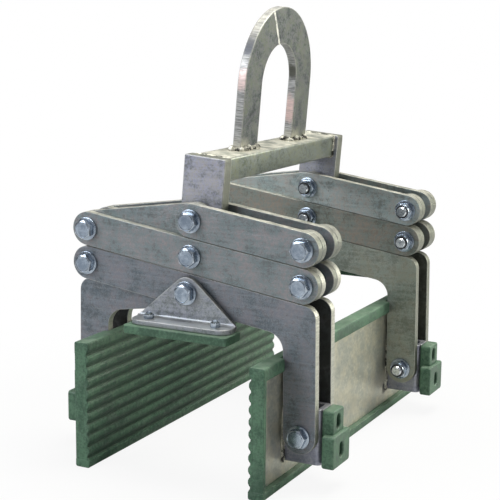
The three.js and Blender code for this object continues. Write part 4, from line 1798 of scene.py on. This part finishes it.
    def channel_part(self, start: float, end: float, y0: float, y1: float, span: tuple[float, float]) -> Part:
        """A bearing channel: a flat blank with its two bolt holes, bent twice into a U.

        At length a along the blank and depth c the point is the moving bend centre plus (bend - c) times
        (sin t, -cos t), where t is the angle turned so far: each bend's length over the radius of its middle.

        Args:
            start: X of both ends.
            end: X of the web's outer face.
            y0: Outer face of the first wall.
            y1: Outer face of the second wall.
            span: Lowest and highest Z.

        Returns:
            The part, in the third material.
        """
        bend = self.bend
        middle = bend - self.wall / 2
        quarter = middle * math.pi / 2
        arm, web = end - bend - start, y1 - y0 - 2 * bend
        total = 2 * (arm + quarter) + web
        turns = np.linspace(0, quarter, self.bend_steps + 1)
        at = np.concatenate([[0], arm + turns, arm + quarter + web + turns, [total]])
        low, high = (np.stack([at, np.full(len(at), z)], axis=1) for z in span)
        ties = [(k, 2 * len(at) - 1 - k) for k in range(1, len(at) - 1)]
        pin = end - self.reach - start
        holes = [bolt_hole((a, LINKS.jaw_pin)) for a in (pin, total - pin)]
        blank = np.concatenate([low, high[::-1]])
        flat = slab(blank, self.wall, edge=0.7, margin=0.8, holes=holes, ties=ties, finish=2)

        def roll(p: Array) -> Array:
            """Bends the blank.

            Args:
                p: Points as length, height and depth.

            Returns:
                Points in the jaw's axes.
            """
            a, b, c = p.T
            angle = (np.clip(a - arm, 0, quarter) + np.clip(a - arm - quarter - web, 0, quarter)) / middle
            x = start + np.clip(a, None, arm) - np.clip(a - arm - 2 * quarter - web, 0, None)
            y = y0 + bend + np.clip(a - arm - quarter, 0, web)
            return np.stack([x + (bend - c) * np.sin(angle), y - (bend - c) * np.cos(angle), b], axis=1)

        return replace(flat, side=np.zeros_like(flat.side)).mapped(roll)

    def steel(self) -> list[Part]:
        """The back plate, its two bent bearing channels and the beads that join them.

        Returns:
            The parts, with two beads beside each wall of a channel.
        """
        half = self.length / 2 - self.end_lip - self.gap
        low, high = self.bottom_lip + self.gap, self.height - self.top_lip - self.gap
        sheet = rounded([(-half, low), (half, low), (half, high), (-half, high)], 2.4)
        thick = self.plate_thick - self.gap
        made = [faced(slab(sheet, thick, edge=0.8, margin=1.0), self.plate_face - thick)]
        z0, z1 = LINKS.jaw_pin - self.below, LINKS.jaw_pin + self.above
        inset = LINKS.thickness + self.side_gap
        start = self.plate_face - self.plate_thick / 2
        x, up = self.plate_face - 0.3, np.array([0, 1.0, 0])
        for number, (leg0, leg1) in enumerate(self.legs()):
            y0, y1 = leg0 + inset, leg1 - inset
            made.append(self.channel_part(start, self.channel_end, y0, y1, (z0, z1)))
            for turn, wall in ((-1, y0), (1, y1)):
                for run, (off, radius) in enumerate(self.bead_rows):
                    y = wall + turn * off
                    path = line((x, y, z0 - 3 + 2 * run), (x, y, z1 - 2))
                    seed = 3.0 * number + turn + 1.7 * run
                    made.append(bead(path, np.array([1.0, 0, 0]), up, radius, seed=seed))
        return made

    def slot(self, height: float) -> Array:
        """An upright slot with round ends, about a height.

        Args:
            height: Z of its middle.

        Returns:
            The outline in Y and Z.
        """
        r = self.slot_width / 2
        reach = self.slot_height / 2 - r
        crown = arc((0, height + reach), r, 0, 180, 14)
        return np.concatenate([crown, arc((0, height - reach), r, 180, 360, 14)])

    def block(self, width: float, bottom: float, crown: float, thick: float, slot: float) -> Part:
        """A buffer block with soft edges and a blind slot in its outer face.

        Args:
            width: Its width along Y.
            bottom: Its lowest Z.
            crown: Its highest Z.
            thick: Its thickness along X, from x = 0.
            slot: Z of the slot's middle.

        Returns:
            The part.
        """
        half = width / 2
        corners = [(-half, bottom), (half, bottom), (half, crown), (-half, crown)]
        pocket = (self.slot(slot), self.slot_depth)
        outline = rounded(corners, self.block_corner, 8)
        made = slab(outline, thick, edge=self.block_edge, margin=0.8, pockets=[pocket])
        sunk = (np.abs(made.points[:, 0]) < self.slot_width / 2 + 0.4) & (made.points[:, 2] > 1)
        # The slot is given a painted shade through the side value.
        made = replace(made, side=np.where(sunk, 0.8, 0.0), wear=made.wear * 0.5)
        return faced(made, thick, sense=-1)

    def buffer(self, middle: float) -> list[Part]:
        """A buffer: a spine between the leg plates and a broad block in front of its lower part.

        Args:
            middle: Y of its middle.

        Returns:
            The spine and the block.
        """
        bottom = LINKS.jaw_pin - self.below
        step = LINKS.jaw_pin + self.step
        crown = step + self.upper_height
        spine = self.block(self.upper_width, bottom + 6, crown, self.upper_thick, step + self.upper_slot)
        broad = self.block(self.lower_width, bottom, step, self.lower_thick, step - self.lower_slot)
        x = self.channel_end + self.gap
        return [
            spine.mapped(lambda p: p + [x, middle, 0]),
            broad.mapped(lambda p: p + [x + self.standoff, middle, 0]),
        ]

    def build(self) -> None:
        """Builds and dresses the jaw's four pieces."""
        name = self.side.name.lower()
        self.put(f"{name}_jaw_pad_rubber", self.pad(), f"{name}_jaw_pad", [self.pad_finish], Slot.PAD)
        metals = [self.plate, self.weld, self.channel]
        self.put(f"{name}_jaw_plate_steel", self.steel(), f"{name}_jaw_plate", metals, Slot.PLATE)
        for end, (start, stop) in zip(End, self.legs()):
            node = f"{end.name.lower()}_{name}_buffer"
            parts = self.buffer((start + stop) / 2)
            self.put(f"{node}_block", parts, node, [self.buffer_finish], Slot.BUFFER)


@dataclass
class Foot:
    """A bent foot plate on the foot bolt, its two small nuts, and the rubber strip under its flange."""

    end: End
    plate: bpy.types.Material
    bolt: bpy.types.Material
    insert: bpy.types.Material
    rubber: bpy.types.Material
    sheet: float = 7.0
    washer: float = 4.0
    apex: float = 22.0
    base_width: float = 154.0
    drop: float = 46.0
    flange: float = 35.0
    corner: float = 16.0
    bend: float = 5.0
    nut_spacing: float = 104.0
    nut_across: float = 13.0
    nut_height: float = 6.5
    strip_width: float = 162.0
    strip_depth: float = 43.0
    strip_thick: float = 12.0
    crown_steps: int = 14
    side_steps: int = 5
    corner_steps: int = 10
    above_flange: float = 1.7
    below_flange: float = 1.9
    first_spin: float = 11.0
    spin_step: float = 25.0
    stud: Sequence = ((3.9, -7.5), (3.9, 2.2), (3.2, 3.0))
    inlay: Sequence = ((3.6, -1.0), (5.4, -1.0), (5.4, 0.3), (4.9, 0.7), (3.6, 0.5))
    gap: float = 0.3

    def placed(self, p: Array) -> Array:
        """Points of the front foot put in place, turned half round about Z for the rear one."""
        front = self.end is End.FRONT
        y = LINKS.near(self.end) + (-self.washer if front else LINKS.stack + self.washer)
        sign = 1 if front else -1
        return p * [sign, sign, 1] + [0, y, 0]

    def bent(self) -> Part:
        """The bent plate: a flat blank whose far end is rolled round the bend and on along the flange.

        Blank height b is length along the middle of the sheet. Above the bend a point is (a, -c, z), in it
        the angle is length over radius and the point turns about the bend's centre, and past it it runs out
        along -Y. The crown's arc stops where a straight edge to the flange's corner touches it.

        Returns:
            The part, as at the front.
        """
        bolt_z = LINKS.centres["foot"][1]
        base = bolt_z - self.drop
        half, mid = self.base_width / 2, self.bend + self.sheet / 2
        bend_top = base + self.sheet + self.bend
        quarter = mid * math.pi / 2
        out = self.flange - self.sheet - self.bend
        top_of_flange = base + self.sheet
        rise = bolt_z - top_of_flange
        first = math.degrees(math.acos(self.apex / math.hypot(half, rise)) - math.atan2(rise, half))
        s_end = bend_top - quarter - out
        touch = self.apex * np.array([math.cos(math.radians(first)), math.sin(math.radians(first))])
        slope = (half - touch[0]) / (rise + touch[1])
        starts = bend_top - np.array([0.0, self.above_flange])
        tops = np.stack([half - slope * (starts - top_of_flange), starts], axis=1)
        low = bend_top - quarter
        shoulder = rounded([tops[0], (half, top_of_flange), (half, low)], [0.5, 3, 0.5], 6)[6:12]
        rows = np.linspace(top_of_flange - self.below_flange, low, self.side_steps)
        side = np.stack([np.full(self.side_steps, half), rows], axis=1)
        lower = arc((half - self.corner, s_end + self.corner), self.corner, 0, -90, self.corner_steps)
        crown = arc((0, bolt_z), self.apex, 90, first, self.crown_steps)
        right = np.concatenate([crown, tops, shoulder, side, lower])
        left = right[::-1] * [-1, 1]
        outline = np.concatenate([right, left[:-1]])[::-1]
        count = len(outline)
        bending = range(len(crown), len(right) - len(lower))
        ties = [(count - 1 - i, count - 1 - (2 * len(right) - 1 - i)) for i in bending]
        flat = slab(outline, self.sheet, edge=0.9, margin=1.0, holes=[bolt_hole((0, bolt_z))], ties=ties)
        flat = replace(flat, side=np.where(flat.points[:, 1] < low, 0.0, flat.side))

        def roll(p: Array) -> Array:
            """Rolls the blank.

            Args:
                p: Points as width, blank height and depth.

            Returns:
                Points in the foot's axes.
            """
            a, b, c = p.T
            length = np.clip(bend_top - b, 0, quarter)
            angle = length / mid
            past = np.maximum(0, bend_top - b - quarter)
            radius = self.bend + self.sheet - c
            y = -(self.sheet + self.bend) + radius * np.cos(angle) - past
            z = bend_top - radius * np.sin(angle)
            z = np.where(b > bend_top, b, z)
            return np.stack([a, y, z], axis=1)

        return flat.mapped(roll)

    def nuts(self) -> list[Part]:
        """Two small nuts with their studs, standing on the flange close to the plate.

        Returns:
            The body, stud and inlay of each.
        """
        base = LINKS.centres["foot"][1] - self.drop + self.sheet
        y = -(self.sheet + self.bend + self.nut_across / math.sqrt(3))
        top = self.nut_height
        stud = lathe([(r, top + h) for r, h in self.stud], 24, finish=1)
        ring = lathe([(r, top + h) for r, h in self.inlay], 24, True, finish=2)
        made = []
        for number, x in enumerate((-self.nut_spacing / 2, self.nut_spacing / 2)):
            spin = self.first_spin + self.spin_step * number
            body = hexagon(self.nut_across, top, spin, 0.94, finish=1)
            made += [p.mapped(lambda q: q + [x, y, base]) for p in (body, stud, ring)]
        return made

    def strip(self) -> Part:
        """The rubber strip: a rounded slab under the flange.

        Returns:
            The part, as at the front.
        """
        half = self.strip_width / 2
        corners = [(half, 0), (-half, 0), (-half, -self.strip_depth), (half, -self.strip_depth)]
        low = LINKS.centres["foot"][1] - self.drop - self.gap - self.strip_thick
        outline = rounded(corners, [2.4, 2.4, 5, 5])
        made = slab(outline, self.strip_thick, edge=1.5, margin=0.7)
        return made.moulded(0.5).mapped(lambda p: p + [0, 0, low])

    def build(self) -> None:
        """Builds and dresses the foot's two pieces."""
        name = self.end.name.lower()
        parts = [p.mapped(self.placed) for p in [self.bent()] + self.nuts()]
        metals = [self.plate, self.bolt, self.insert]
        piece(f"{name}_foot_plate_bent", parts, metals, [f"{name}_foot_plate"])
        strip = self.strip().mapped(self.placed)
        piece(f"{name}_foot_strip_rubber", [strip], [self.rubber], [f"{name}_foot_strip"])


@dataclass(frozen=True)
class Lamp:
    """A square area lamp that looks at the middle of the grab."""

    name: str
    place: Colour
    size: float
    power: float
    colour: Colour

    def build(self) -> None:
        """Adds the lamp."""
        data = bpy.data.lights.new(self.name, "AREA")
        data.size, data.energy, data.color = self.size, self.power, self.colour
        made = bpy.data.objects.new(self.name, data)
        aim = Vector((0, 0, 0.3)) - Vector(self.place)
        made.matrix_world = Matrix.Translation(self.place) @ aim.to_track_quat("-Z", "Y").to_matrix().to_4x4()
        bpy.context.scene.collection.objects.link(made)


LAMPS = (
    Lamp("top", (0.3, 0.3, 2.6), 1.4, 84.0, (1.0, 0.99, 0.93)),
    Lamp("front_left", (-1.6, -2.3, 1.7), 1.6, 54.0, (0.93, 0.96, 1.0)),
    Lamp("right_rear", (1.9, 1.7, 0.9), 1.2, 44.0, (1.0, 0.99, 0.88)),
    Lamp("front_right", (1.1, -2.4, 0.4), 1.0, 2.5, (0.96, 0.98, 1.0)),
)


@dataclass
class Studio:
    """Camera, lamps, world and floor."""

    lens: float = 95.065
    sensor: float = 36.0
    place: Colour = (0.87094, -1.78462, 0.64935)
    azimuth: float = 26.678
    elevation: float = 10.634
    roll: float = 0.614
    floor_size: float = 400.0

    def camera(self) -> None:
        """The camera, from its angles: forward, then right and up turned by the roll."""
        az, el, roll = (math.radians(v) for v in (self.azimuth, self.elevation, self.roll))
        forward = np.array([-math.sin(az) * math.cos(el), math.cos(az) * math.cos(el), -math.sin(el)])
        right = np.array([math.cos(az), math.sin(az), 0.0])
        up = np.cross(right, forward)
        tilted = right * math.cos(roll) + up * math.sin(roll)
        upright = up * math.cos(roll) - right * math.sin(roll)
        data = bpy.data.cameras.new("camera")
        data.lens, data.sensor_width = self.lens, self.sensor
        data.clip_start, data.clip_end = 0.05, 1000.0
        made = bpy.data.objects.new("camera", data)
        turn = Matrix(np.stack([tilted, upright, -forward], axis=1).tolist())
        made.matrix_world = Matrix.Translation(self.place) @ turn.to_4x4()
        bpy.context.scene.collection.objects.link(made)
        bpy.context.scene.camera = made

    def world(self) -> None:
        """A soft surround, pale above and dim at the horizon, that the camera sees as white."""
        world = bpy.data.worlds.new("surround")
        world.use_nodes = True
        g = Graph(world.node_tree)
        base = world.node_tree.nodes["Background"]
        height = g.add("SeparateXYZ", {0: g.add("TexCoord").outputs["Generated"]}).outputs[2]
        shade = g.mix(g.remap(height, 0.0, 0.55), (0.13, 0.14, 0.155), (0.66, 0.67, 0.68))
        g.feed(base, {"Color": shade, "Strength": 0.6})
        white = g.add("Background", {"Color": WHITE, "Strength": 1.0})
        path = g.add("LightPath")
        seen = g.math("MAXIMUM", path.outputs["Is Camera Ray"], path.outputs["Is Transmission Ray"])
        both = g.add("MixShader", {0: seen, 1: base.outputs[0], 2: white.outputs[0]})
        g.feed(world.node_tree.nodes["World Output"], {"Surface": both.outputs[0]})
        bpy.context.scene.world = world

    def floor(self) -> None:
        """A plain floor that keeps the grab's shadow and pales to white away from it.

        It goes down with the right jaw, because the posed grab keeps its top bolts and lets its jaws down.
        """
        half = self.floor_size / 2
        corners = [(-half, -half, 0), (half, -half, 0), (half, half, 0), (-half, half, 0)]
        mesh = bpy.data.meshes.new("floor")
        mesh.from_pydata(corners, [], [(0, 1, 2, 3)])
        material = bpy.data.materials.new("pale_floor")
        material.use_nodes = True
        nodes = material.node_tree.nodes
        g = Graph(material.node_tree)
        shader = nodes["Principled BSDF"]
        g.feed(shader, {"Base Color": (0.5, 0.5, 0.5, 1.0), "Roughness": 0.9})
        glow = g.add("Emission", {"Color": WHITE, "Strength": 1.0})
        place = g.add("TexCoord").outputs["Object"]
        away = g.add("VectorMath", {0: place}, operation="LENGTH").outputs["Value"]
        seen = g.times(g.add("LightPath").outputs["Is Camera Ray"], g.remap(away, 0.3, 0.75, 0.9))
        both = g.add("MixShader", {0: seen, 1: shader.outputs[0], 2: glow.outputs[0]})
        g.feed(nodes["Material Output"], {"Surface": both.outputs[0]})
        mesh.materials.append(material)
        made = bpy.data.objects.new("floor", mesh)
        bpy.context.scene.collection.objects.link(made)
        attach(made, BODY_OF["right_jaw_plate"])

    def build(self) -> None:
        """Sets up the whole studio."""
        self.camera()
        self.world()
        self.floor()
        for lamp in LAMPS:
            lamp.build()
        bpy.context.scene.view_settings.view_transform = "Standard"


EYE_FEET = ((0.002, -0.114), (0.014, -0.1), (0.002, 0.056), (0.014, 0.07), (0.006, 0.114))
EYE_MARKS = tuple(((x, y, 0.4395), 0.012) for x, y in EYE_FEET)
EYE_PATCHES = (
    ((0.0147, -0.1117, 0.541), 0.026, (0.8, 0.62, 0.59)),
    ((0.0185, -0.0967, 0.588), 0.024, (0.15, 0.16, 0.19)),
    ((0.0106, 0.058, 0.489), 0.034, (0.78, 0.58, 0.54)),
    ((0.014, 0.052, 0.545), 0.02, (0.12, 0.12, 0.1)),
)
# Heat marks by the channels' feet on the jaw plates; their soot is also a painted shade for the dark streak
# beside the channel.
JAW_SOOT_AND_SHADE_SPOTS = ((0.16, 0.036, 0.016), (-0.166, 0.04, 0.012))
JAW_SOOT_AND_SHADE_MARKS = tuple(((s * 0.14, s * y, z), radius) for s in (1, -1) for y, z, radius in JAW_SOOT_AND_SHADE_SPOTS)
OLIVE_RIM = (0.2, 0.21, 0.17)
# The links take a strong share of dust and painted top light, which brightens their upward rims.
LINK_SURFACE = {"rim": OLIVE_RIM, "scale": 30.0, "wear": 0.15, "dust": 0.7, "spangled": 0.55}
HANGER_SURFACE = {"scratch": 0.1, "spangled": 0.5, "marks": EYE_MARKS}
LINK_BLUE = SteelFinish(
    "zinc_link_blue", (0.15, 0.165, 0.17), (0.34, 0.365, 0.385), (0.3, 0.25, 0.255), (0.15, 0.215, 0.225),
    **LINK_SURFACE,
)
# The front legs' rims are pale: a painted reflection of the bright surround on those flat rims.
LEG_BLUE = SteelFinish(
    "zinc_leg_blue", (0.11, 0.125, 0.14), (0.3, 0.325, 0.355), (0.24, 0.21, 0.23), (0.11, 0.15, 0.19),
    (0.55, 0.55, 0.47), scale=30.0,
)
# Lighter copy of the rear olive zinc for the rear top links: painted light against the shade that falls on
# them.
TOP_OLIVE_LIT = SteelFinish(
    "zinc_top_olive", (0.245, 0.27, 0.26), (0.54, 0.58, 0.56), (0.41, 0.36, 0.33), (0.29, 0.385, 0.4),
    **LINK_SURFACE,
)
LINK_OLIVE = SteelFinish(
    "zinc_link_olive", (0.15, 0.157, 0.133), (0.34, 0.345, 0.305), (0.27, 0.21, 0.17), (0.17, 0.22, 0.21),
    **LINK_SURFACE,
)
LEG_OLIVE = SteelFinish(
    "zinc_leg_olive", (0.19, 0.21, 0.18), (0.42, 0.44, 0.39), (0.3, 0.285, 0.21), (0.24, 0.3, 0.265),
    OLIVE_RIM,
)
POST = SteelFinish(
    "zinc_post", (0.23, 0.24, 0.26), (0.54, 0.55, 0.57), (0.37, 0.35, 0.34), (0.32, 0.33, 0.47),
    (0.13, 0.14, 0.1), scale=55.0, spangled=0.55,
)
EYE = SteelFinish(
    "zinc_eye", (0.03, 0.045, 0.04), (0.19, 0.22, 0.195), (0.1, 0.115, 0.07), (0.12, 0.1, 0.14),
    (0.5, 0.5, 0.49), (0.06, 0.06, 0.06), lined=0.75, scale=44.0, patches=EYE_PATCHES, dust=0.5,
    **HANGER_SURFACE,
)
BEAM = SteelFinish(
    "zinc_beam", (0.07, 0.085, 0.06), (0.24, 0.27, 0.22), (0.17, 0.18, 0.11), (0.13, 0.155, 0.18),
    scale=34.0, dust=0.9, **HANGER_SURFACE,
)
JAW = SteelFinish(
    "zinc_jaw", (0.36, 0.37, 0.32), (0.6, 0.6, 0.5), (0.2, 0.22, 0.21), (0.5, 0.43, 0.27), scale=8.0,
    scratch=0.0, spangled=0.25, roughness=0.36, uneven=0.03, bump=0.14, marks=JAW_SOOT_AND_SHADE_MARKS,
)
CHANNEL = SteelFinish(
    "zinc_channel", (0.2, 0.21, 0.26), (0.42, 0.43, 0.5), (0.34, 0.34, 0.34), scratch=0.0, roughness=0.34,
    uneven=0.06,
)
# The foot plate's rims are near black: a painted shade for the edge and the gap beside the link behind it.
FOOT = SteelFinish(
    "zinc_foot", (0.16, 0.178, 0.19), (0.45, 0.478, 0.495), (0.3, 0.305, 0.31), (0.245, 0.255, 0.33),
    (0.05, 0.055, 0.06), lined=0.2,
)
BOLT = BoltFinish("zinc_bolt", (0.2, 0.25, 0.32), (0.4, 0.47, 0.56))
INSERT = RubberFinish(
    "nut_insert", (0.008, 0.008, 0.01), (0.015, 0.015, 0.018), (0.03, 0.03, 0.03), (0.005, 0.005, 0.005)
)
PAD = RubberFinish("pad_green", (0.03, 0.075, 0.045), (0.08, 0.165, 0.1))
BUFFER = RubberFinish("buffer_green", (0.028, 0.075, 0.045), (0.085, 0.17, 0.105), roughness=0.5)


def main() -> None:
    """Builds the studio and every sub-assembly in order."""
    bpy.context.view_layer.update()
    Studio().build()
    bolt, insert, foot, pad = BOLT.build(), INSERT.build(), FOOT.build(), PAD.build()
    link = LINK_BLUE.build()
    plates = {
        End.FRONT: (link, link, LEG_BLUE.build()),
        End.REAR: (TOP_OLIVE_LIT.build(), LINK_OLIVE.build(), LEG_OLIVE.build()),
    }
    for end, (top, cross, leg) in plates.items():
        LinkFrame(end, top, cross, leg).build()
        BoltSet(end, bolt, insert).build()
        Foot(end, foot, bolt, insert, pad).build()
    weld = WeldFinish("weld_metal").build()
    Hanger(POST.build(), BEAM.build(), EYE.build(), weld).build()
    steel, channel, buffer = JAW.build(), CHANNEL.build(), BUFFER.build()
    for side in Side:
        Jaw(side, steel, channel, weld, pad, buffer).build()
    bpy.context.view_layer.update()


if __name__ == "__main__":
    main()
